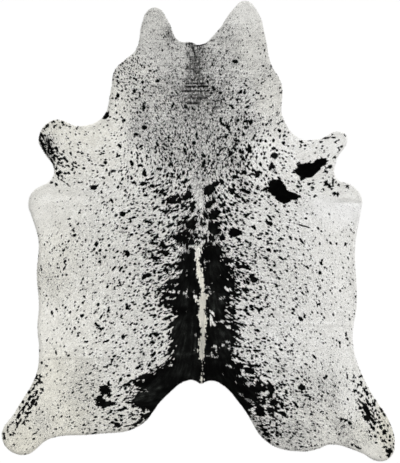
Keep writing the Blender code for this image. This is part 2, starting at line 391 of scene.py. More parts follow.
# Ovals of black. Slant turns their length clockwise from the picture's right. Ragged is in pixels.
BLACK_PATCHES = [Patch(*row) for row in (
    # two large patches by the right shoulder
    (306.5, 169.8, 12.2, 7, -10, 0.5), (319.5, 163.2, 8.5, 4, -24, 0.4), (314, 168, 8, 5.5, -26, 0.4),
    (308.5, 174, 6.5, 4.4, -14, 0.4), (277.5, 188.5, 10, 8.6, 30, 0.6),
    (283.5, 195.5, 9.5, 7.2, 30, 0.6), (294, 196.3, 5.6, 3.4, 12, 0.4),
    (268, 187.6, 4.2, 1.7, -12, 0.4),
    # over the shoulders, left of the spine
    (177, 199, 11, 4.2, -6, 1.4), (189.5, 196, 2.4, 4.5, -20, 0.9), (184, 205.5, 3.6, 2.2, 35, 0.9),
    (193.5, 207.3, 3.6, 2.2, 20, 0.7), (164, 211, 4.6, 1.6, 0, 0.7), (175, 210.5, 3.4, 1.2, 0, 0.8),
    (192.2, 225, 5.8, 5.6, 0, 0.9), (184.5, 221, 3.5, 1.6, -30, 1), (184, 234, 9, 3.2, 0, 1.4),
    (176.5, 237.5, 6, 3, 0, 1.2), (187, 237, 3.4, 2.2, 0, 0.9), (186, 241, 9.5, 3.2, 0, 1.6),
    (157, 191.5, 4, 1.6, 0, 0.8), (163, 194, 3, 1.2, 60, 0.8), (154, 243, 3.6, 1.9, 30, 1.6),
    (155.5, 257.8, 7, 1.8, -4, 1.2), (163.5, 252.8, 2.4, 1.4, 0, 0.7), (149, 222, 4.5, 1.4, 5, 0.8),
    (146, 295, 4, 1.4, -10, 0.8),
    # over the shoulders, right of the spine
    (208.5, 190.5, 5.6, 4.8, -50, 0.6), (215, 184.8, 6, 2.6, -38, 0.6), (221, 180.8, 2, 2, 0, 0.6),
    (209.3, 204.6, 5.2, 3.4, -40, 0.7), (204, 214, 3.2, 1.5, 70, 0.8), (213.5, 213.5, 6, 3.2, 5, 1.4),
    (214.5, 218.5, 7.5, 1.4, 0, 1), (214.6, 227.8, 7, 6.8, 0, 0.9), (211, 237.5, 9, 2.6, 0, 1.6),
    (203.8, 225.5, 1.6, 3.2, 0, 0.8), (223, 237.5, 3.6, 1.8, 50, 1), (235, 232.6, 6.6, 4.2, 0, 0.5),
    (202.3, 260.8, 1.9, 4.4, 0, 0.5), (249, 214, 4.8, 1.4, -35, 0.5), (270.2, 223.6, 3.2, 2.3, 20, 0.7),
    (259, 172.8, 4.4, 1.8, -15, 0.7), (256, 174.5, 4, 1.6, 55, 0.7), (243.5, 172.5, 3, 1.4, -40, 0.6),
    (232, 192, 3.2, 1.6, 0, 0.6), (239, 201.8, 2, 1.4, 0, 0.5), (254.5, 279.6, 4.2, 3.2, 0, 0.6),
    (237.6, 264.8, 3.6, 3, 0, 0.6), (247, 267.4, 5, 1.6, 10, 0.8),
    # left rump
    (104.5, 389.6, 6.2, 4.8, -20, 0.9), (108.3, 384, 1.7, 3, 10, 0.6), (109.4, 395.2, 3.2, 2.6, 0, 0.7),
    (100.8, 400.4, 5.2, 5.4, 0, 0.9), (102, 405, 4.6, 2, 0, 0.8), (107, 403.2, 7, 2.6, 0, 1.2),
    (117.3, 424.6, 3.2, 2.6, 20, 0.6), (121, 410, 3.8, 1.3, -16, 0.6), (128, 385, 7, 1.4, -12, 0.9),
    (125.5, 388, 2.4, 1.2, -10, 0.5), (157, 367.6, 4, 1.6, -14, 0.8), (148, 413.5, 8, 1.8, -45, 0.8),
    (137.5, 422.5, 6, 1.3, -22, 0.7), (133.5, 418.3, 3.4, 1.2, 18, 0.6), (126.5, 425.5, 3, 1.4, 0, 0.6),
    (131.5, 403.2, 1.8, 1.4, 0, 0.5),
    # right rump
    (270, 388, 5.6, 5.2, 20, 1.3), (263, 402, 7.4, 4, 0, 1.5), (273, 402.4, 4.8, 2.8, 5, 0.7),
    (260, 411.3, 5.5, 5, 0, 0.6), (270.5, 410.2, 4.9, 2.3, 10, 0.6), (262.5, 425.5, 8.4, 4.6, 35, 1.8),
    (266.5, 434.5, 4.2, 2.2, 50, 0.9), (248.5, 369.8, 7.8, 2.5, 14, 0.8), (253, 365.3, 5, 1.2, 8, 0.6),
    (265.5, 376, 4.6, 1.1, 24, 0.5), (258.3, 382.6, 4, 1.5, 28, 0.6), (269.5, 396.5, 2.6, 1.2, 20, 0.6),
    (302, 387.8, 4, 2.9, 5, 0.4), (279.5, 398.3, 4.2, 1.3, 32, 0.4), (283.6, 414.4, 3, 1.6, 20, 0.4),
    (367.3, 411.5, 7.5, 3.4, 62, 1), (366.3, 418, 4, 2.4, 58, 1),
    # the drop at the foot of the neck
    (106.3, 115.2, 4.9, 2.5, -58, 0.4),
)]

# White flecks in the black. Share is how much of the hair in a fleck is white.
WHITE_FLECKS = [Fleck(*row) for row in (
    # thin strands in the mass on the left foreleg
    (42.6, 138.5, 2.4, 0.5, 62, 0.4, 0.5), (45.8, 142, 2.2, 0.5, 58, 0.4, 0.4),
    (46, 147.5, 2.6, 0.5, 60, 0.4, 0.4), (50.5, 152, 2.2, 0.5, 55, 0.4, 0.5),
    (52.6, 158, 2.4, 0.6, 62, 0.4, 0.6), (49, 155, 1.8, 0.5, 55, 0.4, 0.4),
    # left half
    (186, 213.5, 8, 1.8, 0, 1.2, 0.6), (187.5, 202.5, 2.6, 1.8, 0, 0.8, 0.4),
    (197, 213.5, 2.2, 3, 0, 0.8, 0.5), (181, 226.5, 1.2, 2.6, 0, 0.6, 0.6),
    (191, 231.5, 1.2, 1.8, 0, 0.6, 0.6), (176.5, 233.5, 1.6, 1.2, 0, 0.5, 0.8),
    (182, 249.5, 5, 3.2, 0, 1.6, 0.6), (191.5, 246.3, 4.2, 0.8, -6, 0.5, 0.9),
    (178.5, 261, 3, 1.2, -10, 0.8, 0.5), (178.3, 272.4, 3.6, 1.9, -5, 0.9, 0.75),
    (173.5, 277, 4.5, 1, -3, 0.8, 0.7), (176.8, 284.6, 3, 1.1, -5, 0.6, 0.65),
    (187, 271, 1.4, 0.9, 0, 0.5, 0.25), (184.8, 292.8, 1.8, 1.1, -30, 0.5, 0.6),
    (187.2, 297, 1.6, 1.2, 0, 0.5, 0.3), (163, 291.5, 2.2, 1.4, 0, 0.6, 0.9),
    (169.5, 291.8, 1.5, 1.2, 0, 0.5, 0.9), (173.6, 291.8, 1.4, 1.2, 0, 0.5, 0.8),
    (178, 292.5, 1.6, 2.4, 10, 0.6, 0.8), (161, 294.5, 1.4, 1.8, 20, 0.6, 0.7),
    (171.5, 298.8, 4, 0.9, -8, 0.6, 0.75), (195, 297.2, 2.2, 1.5, 20, 0.4, 1),
    (193.3, 291.5, 0.8, 1.4, 20, 0.4, 0.4), (197.5, 300.8, 3.4, 1.1, 45, 0.4, 1),
    (184.5, 334, 0.7, 1.1, 0, 0.4, 0.25), (195.5, 335, 0.7, 1.3, 0, 0.4, 0.35),
    (195.4, 349.5, 1, 1.6, 0, 0.6, 0.18), (171.5, 365.2, 2.4, 1, -25, 0.5, 0.8),
    (143.6, 380.8, 1, 1.2, 0, 0.5, 0.6), (146, 390.3, 1.3, 1, 0, 0.5, 0.4),
    (136.5, 391, 2.8, 0.9, 0, 0.6, 0.5), (104.4, 397, 1.3, 1, 0, 0.4, 1),
    (130, 387.8, 5, 1.1, -8, 0.8, 0.8), (148, 411.5, 2.2, 1.6, 0, 0.8, 0.6),
    # right half
    (206.8, 229.8, 1, 2.6, 0, 0.6, 0.8), (203.6, 242.2, 2.2, 1.4, 0, 0.6, 0.9),
    (214, 244, 5, 1.2, -28, 0.9, 0.6), (217, 237.5, 1.6, 1.2, 0, 0.7, 0.4),
    (212, 220.8, 4.5, 0.9, 10, 0.7, 0.5), (208.5, 211, 1.4, 2, 0, 0.7, 0.5),
    (206.8, 261.6, 3.4, 0.9, -15, 0.5, 0.5), (205.9, 270, 0.8, 7, 0, 0.7, 0.3),
    (222.5, 256.8, 2.8, 0.8, -10, 0.5, 0.9), (222.5, 260.3, 2.6, 0.6, 0, 0.5, 0.45),
    (230, 264.6, 3.2, 0.6, -5, 0.5, 0.9), (228, 279.2, 1.3, 1, 0, 0.5, 0.45),
    (212.6, 283.5, 1.2, 1, 0, 0.5, 0.4), (208.2, 287.4, 1.6, 0.6, 20, 0.4, 0.5),
    (211, 292.6, 2.4, 1.5, 0, 0.7, 0.35), (227.2, 289.6, 3.8, 2, 30, 0.8, 0.85),
    (221, 298.6, 2.6, 1.1, -10, 0.7, 0.4), (231.5, 297.5, 1.6, 1.2, 0, 0.5, 0.9),
    (231.5, 303.5, 2.6, 1, 10, 1, 0.8), (211.8, 313, 3.6, 1, 45, 0.7, 0.8),
    (210.8, 319.5, 1.8, 4.4, -8, 0.8, 0.85), (213, 323.3, 4.6, 1.2, 42, 0.8, 0.8),
    (229, 316, 2.6, 1.8, 0, 1.2, 0.6), (221, 321.5, 5, 0.7, -3, 0.5, 0.6),
    (229, 327.3, 1.8, 0.9, 20, 0.5, 0.9), (226.5, 341.8, 2.8, 0.7, 5, 0.5, 0.6),
    (222.6, 345.3, 1.1, 1.3, -30, 0.5, 0.55), (229.6, 347.5, 0.9, 1.6, 0, 0.5, 0.5),
    (214.4, 347, 2.4, 1.3, 0, 0.8, 0.7), (215.4, 350.5, 1, 2, 0, 0.7, 0.5),
    (212, 354.5, 0.9, 2.2, -20, 0.6, 0.45), (216, 357.4, 2.4, 0.7, 0, 0.6, 0.3),
    (207.4, 356.6, 1.2, 1, -30, 0.5, 0.4), (228.5, 366, 3.6, 0.8, 22, 0.6, 0.45),
    (224, 374, 2.2, 0.8, 25, 0.6, 0.2), (242.6, 371.2, 2, 2, 30, 0.6, 0.8),
    (240.5, 376.4, 3.4, 0.7, 8, 0.5, 0.7), (250, 375.3, 3, 0.8, 0, 0.5, 0.9),
    (248.5, 383.6, 3.2, 1, 8, 1, 0.6), (243, 394.5, 2.6, 1, 30, 0.8, 0.25),
    (249.5, 400.9, 2.4, 0.8, 20, 0.8, 0.3), (263, 393.6, 3, 0.8, 0, 0.7, 0.6),
    (267, 392.5, 1.6, 1.4, 0, 0.6, 0.9), (252.5, 411, 1.6, 4.5, 0, 0.8, 0.9),
    (263, 418, 2.6, 1.8, 0, 0.6, 0.9), (258.5, 423.3, 2, 1.2, 0, 0.6, 0.8),
    (263, 422, 0.8, 2.6, -35, 0.5, 0.7), (266.6, 427.3, 1.8, 0.9, 0, 0.5, 0.9),
    (259, 428.5, 2.6, 0.7, -15, 0.5, 0.8), (265.8, 404.9, 2, 1, 0, 0.6, 0.7),
    (262, 396.9, 2.6, 0.7, -10, 0.5, 0.8),
)]

# Small black marks in the white.
MARKS = [Mark(*row) for row in (
    # neck, shoulders, body and rump
    (201, 45, 4.6, 0.8, -14), (190.5, 43.8, 3, 0.6, -5), (118, 96, 1.9, 1.6, 90),
    (118.5, 83, 1.2, 1, 90), (134.5, 91.5, 1.7, 1.2, 60), (142.8, 82, 1.4, 1.2, 0),
    (157.5, 81, 2, 1.5, 10), (124, 120.5, 1.7, 1.4, 0), (144, 107.5, 2.2, 1.4, 60),
    (144.4, 127.8, 2.8, 2.2, 0), (172.8, 105.5, 3, 1.1, -70), (186, 106.5, 2.6, 1.5, 55),
    (194, 143, 2, 1.9, 0), (185, 151, 3.4, 1.3, 64), (196.5, 135, 2.3, 1, 90),
    (136, 134.2, 2.3, 1.3, 5), (119.5, 146, 2, 1.3, 50), (141, 146.5, 2.1, 1.2, -28),
    (234.8, 61.6, 3, 1.5, 10), (263, 66, 1.1, 1, 0), (240.6, 92, 1.7, 1.4, 80), (207.6, 82, 2, 1.2, 70),
    (204, 86.5, 1.8, 1.2, 0), (213.6, 88.6, 2.6, 1.6, 60), (211.2, 93.2, 1.6, 1.2, 0),
    (231, 106, 1.5, 1, 0), (238, 99.5, 2.2, 1, 0), (247, 107, 2.4, 0.9, -25),
    (222.5, 124, 3.6, 1.1, 50), (227.5, 127.6, 2, 1.4, -20), (245.6, 128, 1.7, 1.5, 0),
    (246, 121.4, 2.6, 1.4, 0), (236.6, 140.6, 2.4, 1.1, 0), (279.4, 131, 2, 1.4, 45),
    (284, 135.8, 1.4, 1.2, -60), (283.4, 143, 1.5, 1.4, 0), (278, 124, 1.4, 1, 0),
    (249.2, 147.5, 2.8, 1.5, 80), (250, 151.5, 2.3, 1.8, 0), (240.4, 151.6, 2.2, 1.6, 60),
    (235, 149.4, 1.8, 1.5, 90), (273.4, 148.6, 1.9, 1.4, -20), (274.4, 155.6, 3.5, 2.6, 0),
    (271, 166.4, 4, 1.7, -72), (243.5, 172.4, 2.4, 1.4, -30), (217.8, 155, 1.8, 1.4, 0),
    (203.8, 156, 2.2, 1.6, 10), (204, 163.5, 3.8, 1.3, -75), (93.8, 187.6, 2.9, 2.4, 0),
    (105.3, 162.6, 1.8, 1.5, 40), (113.8, 171, 1.7, 1.1, 0), (103.4, 178, 1.7, 1.1, 15),
    (132, 164, 2.1, 1.7, 90), (141, 165.6, 2.4, 1.3, 15), (144.4, 173.5, 2.6, 2, 90),
    (142.8, 183.8, 2.6, 2, 0), (152.2, 186, 2.5, 1.8, 0), (134, 183, 2.1, 1, 0),
    (111.8, 201, 2.5, 1.1, 62), (117.2, 155.5, 2.1, 0.9, 88), (122.4, 214, 2.9, 2.6, 0),
    (127.5, 253.4, 2.9, 2.2, 80), (74.5, 235.5, 2, 1.4, -30), (99.8, 250.5, 1.8, 1.2, -45),
    (96.6, 244.4, 2, 1, -50), (64.8, 261.8, 1.9, 1.1, -60), (64.3, 268.4, 1.9, 0.8, -65),
    (114, 268.4, 2.7, 1, -48), (120.3, 269.5, 2.1, 1.1, -70), (78, 224, 1.5, 0.9, -50),
    (131.8, 234.8, 1.5, 1.2, 0), (145.5, 195.5, 2.3, 1.2, 0), (82, 315.6, 1.9, 1.4, -30),
    (98, 304.6, 1.7, 1.3, -60), (128, 308.6, 2.6, 1.1, 10), (101, 317, 2.4, 0.8, -60),
    (97.5, 325.5, 2.2, 1.2, 10), (100.6, 329, 1.6, 1.3, 40), (155.6, 334.4, 3.2, 1.8, 12),
    (153, 342.4, 2, 1.6, 0), (153.8, 354, 2.8, 1.2, -62), (123, 336.4, 1.6, 1.4, 0),
    (107, 341, 2.5, 0.9, -25), (56, 352.5, 1.9, 0.8, 75), (52, 313, 2, 1, 80),
    (128.5, 375.6, 1.8, 1.3, -10), (301.6, 241.2, 3.2, 1, 50), (303.5, 226, 5, 0.6, 16),
    (281.4, 238.8, 2.2, 1, 15), (290.6, 238.2, 2.1, 1.1, 60), (267, 234, 1.6, 1, 0),
    (330.5, 243.2, 1.6, 0.9, 50), (336.5, 243.8, 1.2, 0.9, 80), (345.5, 244.2, 1.4, 0.9, 80),
    (321, 263.4, 1.9, 1, 50), (300.6, 318.8, 2.7, 1.6, 42), (293.6, 309.4, 1.9, 1.2, 40),
    (257.5, 308.6, 3.4, 0.9, 28), (314.6, 357, 2.8, 0.9, 48), (346, 334.2, 2, 0.9, 88),
    (347, 338.5, 1.1, 0.8, 0), (339.8, 343, 1.5, 0.9, 70), (326.4, 376.4, 1.6, 1.4, 90),
    (281.2, 349.6, 1.9, 1, 25), (277.6, 360.4, 2.1, 1, 50), (302, 446.6, 2, 0.9, 0),
    (296, 404.6, 3.2, 1.1, 50), (283.6, 414.6, 2.8, 1.2, 25), (264, 338.4, 2.1, 1.1, 0),
)]

# Short strokes of black hair down the legs.
LEG_STROKES = [Mark(*row) for row in (
    # left foreleg
    (42, 144, 3, 1.4, 62), (44, 148, 3, 1.4, 60), (46.5, 152.5, 3, 1.4, 58), (49.5, 156.5, 3, 1.4, 55),
    (42, 135, 2, 1.2, 60), (44.5, 135.5, 1.6, 0.9, 0), (52.5, 149, 2, 1.1, 50),
    (53.5, 158.5, 2.6, 1.3, 60), (57.5, 158, 1.8, 1.1, 40), (51.5, 160.5, 3, 1.1, 62),
    (54, 165, 3, 1.1, 75), (53.3, 121.9, 2, 0.8, -20), (55, 125.6, 1.5, 0.9, 0),
    (63.7, 124.8, 1.3, 0.8, 10), (47.2, 125.6, 1.4, 0.9, -40), (45, 127.8, 1.6, 0.9, -50),
    (42.8, 130.8, 1.2, 0.8, -60), (59.4, 127.2, 1.1, 0.8, 0), (69.4, 126.7, 1.1, 0.9, 0),
    (39.5, 136.1, 3.5, 1.7, 80), (44.1, 138.9, 3, 1.2, 55), (41.5, 141.7, 3, 1.4, 60),
    (47.4, 142.8, 4, 1.7, 60), (44.6, 145.6, 4, 1.5, 60), (49.7, 147.2, 3.5, 1.7, 60),
    (48.2, 151.7, 3.5, 1.4, 60), (51.9, 151.7, 3, 1.5, 55), (51.3, 156.1, 2.5, 1.1, 60),
    (55.2, 156.1, 3, 1.5, 40), (56.9, 151.7, 1.2, 1.1, 30), (55.8, 148.3, 1.5, 1.2, 0),
    (61.7, 153.9, 1.2, 1.1, 30), (63.3, 151.1, 1.1, 0.9, 0), (60, 159.4, 2.2, 1.6, 30),
    (58.3, 163.3, 1.6, 1.1, 80), (61.7, 162.8, 1.9, 1.3, 30), (66.7, 161.1, 1.9, 1.1, 30),
    (64.4, 157.8, 1.2, 1.1, 20), (71.7, 163.9, 1.2, 1, 40), (73.3, 166.7, 1.1, 1, 0),
    (73.9, 162.6, 1.1, 0.9, 0), (68.3, 166.1, 1.6, 1, 20), (62.8, 166.1, 1.6, 1, 30),
    (56.1, 168.3, 1.2, 1.1, 90), (60.6, 171.7, 1.6, 1.4, 30), (57.8, 174.4, 2.1, 1.6, 45),
    (65, 173.3, 1.6, 1.1, -40), (68.9, 172.8, 1.1, 1.1, 0), (61.7, 176.7, 1.6, 1.1, 20),
    (61.1, 179.4, 1.5, 1.1, 40), (64.4, 181.7, 1.4, 1, 60), (51.7, 182.6, 1.4, 1.1, 0),
    (56.1, 184.8, 1.6, 1.3, 20), (58.6, 191.1, 1.1, 0.9, 90), (67.8, 183.9, 1.1, 0.8, 0),
    (77.8, 152.2, 1.1, 1, 0), (79.7, 142.2, 1.1, 0.9, 0), (70.6, 152.2, 1.1, 1.1, 0),
    (69.4, 144.4, 1.1, 0.9, 0), (82.2, 153.3, 1.1, 0.9, 0), (78.9, 165.6, 1.1, 0.9, 0),
    (78.3, 182.2, 1.1, 0.9, 0), (73.9, 172.8, 1.1, 0.9, 0),
    # right foreleg
    (326.1, 137.9, 2.8, 1.1, -15), (333.6, 137.4, 1.4, 1, 0), (321.3, 142.1, 1.2, 0.8, 0),
    (336.1, 141.6, 1.6, 0.9, -40), (344.4, 134.9, 1.2, 0.8, 40), (341.8, 146.2, 1.2, 0.8, -45),
    (339.4, 150.4, 1.2, 0.8, -50), (338, 153.4, 0.8, 0.7, 0), (334.8, 156.8, 2, 0.9, -50),
    (329.8, 166.6, 2.4, 1.4, -30), (325.8, 167.7, 1, 0.9, 0), (326.1, 171.6, 1.8, 0.8, 50),
    (323.3, 178.6, 1, 0.9, 0), (333.1, 181.6, 3.6, 1.1, 90), (336.1, 182.7, 1, 0.7, 90),
    (338.6, 184.9, 1, 0.9, 0), (326.1, 181.6, 1.4, 1.2, 0), (327.8, 184.3, 3, 1.6, 20),
    (329.4, 186.6, 2, 1.2, 0), (331.7, 188.8, 1.2, 1, 0), (323.3, 189.7, 1.3, 1.1, 0),
    (324.4, 185.4, 1, 0.9, 0), (347.6, 186.7, 1.9, 1.7, 0), (334.5, 193.8, 1.9, 1.8, 0),
    (337.6, 194.5, 1.9, 1.8, 0), (314.7, 196, 1.1, 1, 0), (312.2, 187.4, 1.5, 1, 0),
    (313.1, 183.4, 1, 0.9, 0), (309.8, 183.4, 0.9, 0.9, 0), (301.1, 191, 1.2, 1, 0),
    (299.4, 183.8, 1.1, 0.9, 0), (300.9, 147.4, 2, 0.9, -70), (300.9, 141.8, 1.2, 0.9, 0),
    # left hind leg
    (36, 377.6, 3.3, 1.3, 127), (40.5, 376.7, 1.5, 1.2, 0), (44.7, 377.8, 1, 0.9, 0),
    (38.3, 382.8, 1.6, 1.2, 0), (36.5, 384.4, 1.3, 1, 0), (39.1, 379.1, 1.3, 1, 0),
    (41.1, 382.2, 1.2, 1, 0), (32.4, 389.1, 2.5, 1.4, 120), (29.1, 392.2, 1.9, 1.3, 120),
    (41.3, 389.4, 1.5, 1.3, 0), (40.9, 393.3, 1, 0.9, 0), (35.8, 393, 2.6, 1.2, 115),
    (33, 396.1, 2, 1.1, 110), (29.8, 397.8, 2.8, 1.6, 120), (37.4, 398.9, 2.5, 1, 100),
    (32.4, 402.8, 4, 2, 110), (36.3, 403.6, 2.6, 1.2, 95), (27.2, 404.4, 2.2, 1.6, 0),
    (22.8, 401.1, 1.2, 0.9, 0), (24, 407.6, 2.5, 1.4, 120), (30, 407.8, 2.7, 1.6, 150),
    (20, 407.2, 1, 0.9, 0), (28, 413.2, 2.7, 1.4, 160), (19, 415, 2.6, 1.5, 115),
    (23, 411.8, 1.8, 1, 120), (20.4, 420.6, 2.1, 1.2, 120), (22.4, 409.4, 2.6, 1.2, 115),
    (18.6, 417, 2.2, 1.1, 118), (26.4, 416.6, 2.4, 1, 130), (23.9, 422.2, 2.5, 1.1, 130),
    (26.7, 420.6, 2, 0.9, 0), (16.7, 427.2, 2.5, 1.1, 120), (12.8, 422.8, 1.5, 0.9, 0),
    (10.6, 424.4, 1.1, 0.8, 0), (8, 427.4, 1.2, 0.8, 110), (7.6, 431, 1.3, 0.8, 100),
    (17.8, 423.3, 1.6, 0.9, 0), (3.8, 433.9, 1.6, 1.1, 0), (4.6, 436.9, 2.5, 1.3, 80),
    (13.9, 433.3, 1.2, 0.9, 0), (11.1, 434.6, 1.6, 0.8, 0), (35.6, 433.3, 2, 1.1, -20),
    (34.2, 439.1, 1.2, 1, 0), (17.2, 439.1, 0.9, 0.7, 0), (13.6, 444.7, 0.9, 0.7, 0),
    (61.1, 380.6, 0.9, 0.8, 0),
    # right hind leg
    (353.5, 376.1, 1.6, 1.2, 90), (360.5, 376.3, 1.8, 1.2, 0), (353.5, 381.1, 1.1, 1, 0),
    (361.1, 382.2, 1.4, 1.1, 0), (347.7, 377.6, 2, 0.7, 80), (358.2, 385.8, 2.2, 1.1, -45),
    (361.8, 385.5, 1.2, 1, 0), (364.1, 390.4, 2.4, 1.1, 60), (366.8, 393.5, 2, 1.2, 60),
    (365.9, 388.1, 1, 0.9, 0), (355, 390.8, 2.1, 1.3, -20), (358.2, 393.1, 1.5, 0.8, 50),
    (370.7, 396.3, 1, 0.8, 0), (361.4, 396.3, 2.5, 1.4, -60), (358.6, 399.9, 2, 1, -60),
    (374.5, 404.5, 2.2, 1.1, 50), (367.7, 402.6, 3.3, 1.5, 50), (370.5, 405.4, 3.3, 1.3, 60),
    (363.6, 405.4, 3.3, 1.7, 60), (365.5, 409.5, 4.1, 2.1, 55), (368.2, 413.5, 4.1, 2.4, 55),
    (372.2, 412.2, 3.3, 1.2, 60), (370.9, 418.1, 3.3, 2, 55), (374, 422.2, 3.3, 1.4, 55),
    (359.1, 404.9, 2.5, 1.1, 30), (360.4, 402.2, 2, 1.1, 40), (361.4, 407.5, 1.8, 1.2, 0),
    (363, 412.5, 2.2, 1.2, 40), (367, 419, 2.4, 1.2, 40), (372.5, 416.5, 2.8, 1.2, 58),
    (359.5, 408.1, 2, 1, 20), (355.9, 409.9, 1.5, 0.8, 0), (381.4, 410.2, 3, 1.4, 50),
    (384, 414.3, 2.5, 1.1, 55), (375.8, 411.2, 1.5, 1.2, 0), (377.3, 414.9, 1.6, 1.2, 40),
    (379.5, 417.6, 1.2, 1, 0), (378.2, 421.7, 1.3, 1, 0), (381.4, 421.3, 1.3, 1, 0),
    (376.4, 419, 1.2, 0.9, 0), (383.6, 425.4, 1.3, 1, 0), (387.5, 425.8, 1.3, 1.1, 90),
    (384.5, 431.7, 2.8, 2.1, 80), (380, 427.2, 1.4, 1, 0), (377.3, 426.7, 1, 0.9, 0),
    (377.7, 432.6, 2, 1.1, 60), (373.6, 429, 1.8, 1, 30), (370.9, 426.3, 2.2, 1.1, 70),
    (370, 431.7, 2, 0.9, 50), (375.5, 436.3, 1.4, 1, 0), (371.4, 436.7, 1.2, 0.8, 0),
    (380.9, 437.2, 1, 0.9, 0), (382.7, 441.3, 1.3, 1, 0), (376.8, 442.6, 1.2, 1, 0),
    (389.5, 440.8, 1.2, 1.1, 0), (390, 436.3, 1.1, 0.9, 0), (386.4, 437.2, 1, 0.9, 0),
    (384.5, 447.2, 1.8, 1.2, 0), (386.8, 450.8, 2.5, 1.5, 60), (389.5, 452.6, 3.3, 1.3, 75),
    (391.6, 450.2, 2.5, 1.1, 90), (388.2, 455.4, 2.3, 1.4, 80), (342.6, 419.2, 2.1, 1.6, 30),
    (345.8, 420.4, 1.9, 1.4, 0), (350.1, 423.2, 2.1, 1.7, 45), (343.2, 425.8, 1.3, 0.7, 0),
    (344.5, 427.2, 1, 0.8, 0), (353.2, 428.5, 1.6, 0.8, 20), (339.5, 434, 1.2, 1, 0),
    (352.3, 444.9, 1.6, 1, 40), (356.4, 446.6, 2.5, 1, 30), (360.5, 448.3, 1.6, 0.9, 20),
)]
# How ragged strokes and marks are, and what is added to their level, of itself and of noise.
STROKE_RAGGED = 0.6
STROKE_LEVEL = 0.4
STROKE_FINE = 0.9
STROKE_STRANDS = 0.3
MARK_RAGGED = 0.35
MARK_LEVEL = 0.8
MARK_NOISE = 0.3
# A fleck is this many times as ragged as its row says.
FLECK_RAGGED = 1.5
FLECK_LEVEL = 0.4
FLECK_SOFT = 1.2
# A step of level at a patch's edge takes this many pixels for each that it is ragged, and
# SHARPEST more.
EDGE_STEP = 0.55
SHARPEST = 0.12
# The highest level inside a patch is this, divided by how ragged it is.
SOLID = 2.3
# Over how many steps of level black fades out.
BLACK_SOFT = 0.6

# Painted sheen: where the black is painted greyer (over 0) or deeper (under 0) than usual.
BLACK_SHEEN = [Sheen(*row) for row in (
    (183, 288, 12, 12, 0.5), (185, 345, 13, 22, 1.6), (182, 300, 12, 6, 0.8), (182, 326, 12, 8, 0.7),
    (180, 311, 12, 4, -0.8), (215, 272, 8, 10, 1.4), (215, 300, 9, 14, 2.8), (222, 338, 8, 10, 3.2),
    (208, 333, 5, 10, -0.5), (213, 370, 14, 7, -0.9), (183, 372, 12, 8, 1.4), (145, 395, 14, 10, 2),
    (160, 385, 8, 6, 0.8), (240, 390, 14, 10, -0.5), (313, 168, 16, 12, -0.9), (283, 192, 14, 12, -0.9),
    (212, 256, 8, 6, -0.6), (184, 354, 9, 1.4, 3), (260, 411, 7, 6, -0.7), (235, 232, 8, 6, -0.5),
)]

# ------------------------------------------------------------------ how the hide lies
# Shade is how dark the hair in a crease is painted, as painted shade in the crease.
CREASES = [Crease(*row) for row in (
    # across the neck
    (187, 83.6, 203, 83.6, 1, 0.0005, 1.15), (187, 86.9, 207, 86.6, 1.1, 0.0005, 1.35),
    (183, 91.2, 208, 91.2, 1, 0.0005, 1.05), (187, 95, 200, 94.8, 0.8, 0.0004, 0.55),
    (186, 98.5, 206, 98, 1, 0.0004, 0.9), (188, 103.3, 198, 103.2, 1.3, 0.0004, 1.05),
    (190, 79.5, 203, 79.6, 0.8, 0.0003, 0.5),
    # along the neck
    (192.5, 46, 195, 56, 1.4, 0.0003, 1), (194.5, 57, 195, 80, 1.2, 0.0003, 0.5),
    (190.5, 57, 190.5, 79, 0.9, 0.0003, 0.5), (199, 58, 199.5, 82, 1, 0.0003, 0.6),
    (202.5, 48, 203, 66, 0.9, 0.0003, 0.45), (187, 52, 186.5, 70, 0.8, 0.0003, 0.35),
)]
# Folds left from when the hide was packed. Depth under 0 stands up. Shade is painted light on
# the hair over a fold where over 0, and painted shade where under 0.
FOLDS = [Crease(*row) for row in (
    # at the right elbow
    (328, 201, 346, 200.2, 2, 0, -0.04), (342, 200.2, 361, 200.9, 1.9, 0, -0.14),
    (336, 202.2, 361, 202.7, 0.9, 0.0015, -0.09), (342, 196.6, 359, 196, 2.4, -0.0016, 0.05),
    (346, 205.2, 361, 205.4, 2, -0.0016, 0.06),
    # at the left elbow
    (36, 201, 88, 199.5, 4, -0.0016, 0.04), (61, 193.5, 73, 193.5, 3, 0.0012, -0.07),
    (45, 206.5, 100, 206, 1.2, 0.001, -0.05),
    # across the right flank
    (228, 322.8, 350, 323.2, 1.3, -0.0024, 0.08), (228, 325.8, 350, 326.2, 1.2, 0.001, -0.11),
    # across the loin
    (45, 355.2, 130, 355.4, 1.6, -0.002, 0.05), (45, 358.6, 165, 358.9, 1.2, 0.001, -0.11),
    (44, 346, 60, 364, 5, 0.001, -0.04), (178, 352, 202, 358, 1.6, 0.0014, 0),
    (250, 352, 350, 349, 2, 0.0012, -0.03),
    # down the left thigh
    (54, 368, 56, 400, 3, -0.0016, 0.03),
)]
# The paler ridge over a crease is this much wider. It loses this share of its black, and this
# share of its hairs turns from grey to white.
RIDGE_WIDTH = 2.2
RIDGE_PALER = 0.4
RIDGE_WHITE = 0.25
# How black a furrow's painted shade is, how much of the fine noise comes into that, and its share
# of grey hairs.
FURROW_LEVEL = 0.8
FURROW_FINE = 0.25
FURROW_GREY = 0.85
# Long strands of hair show only down the neck's middle. Height is the share they lose beside it.
NECK_MIDDLE = Swell(195, 175, 8, 40, 0.8)
# Fine wrinkles across the neck. Height is their share of grey hairs.
NECK = Swell(205, 74, 64, 56, 0.16)
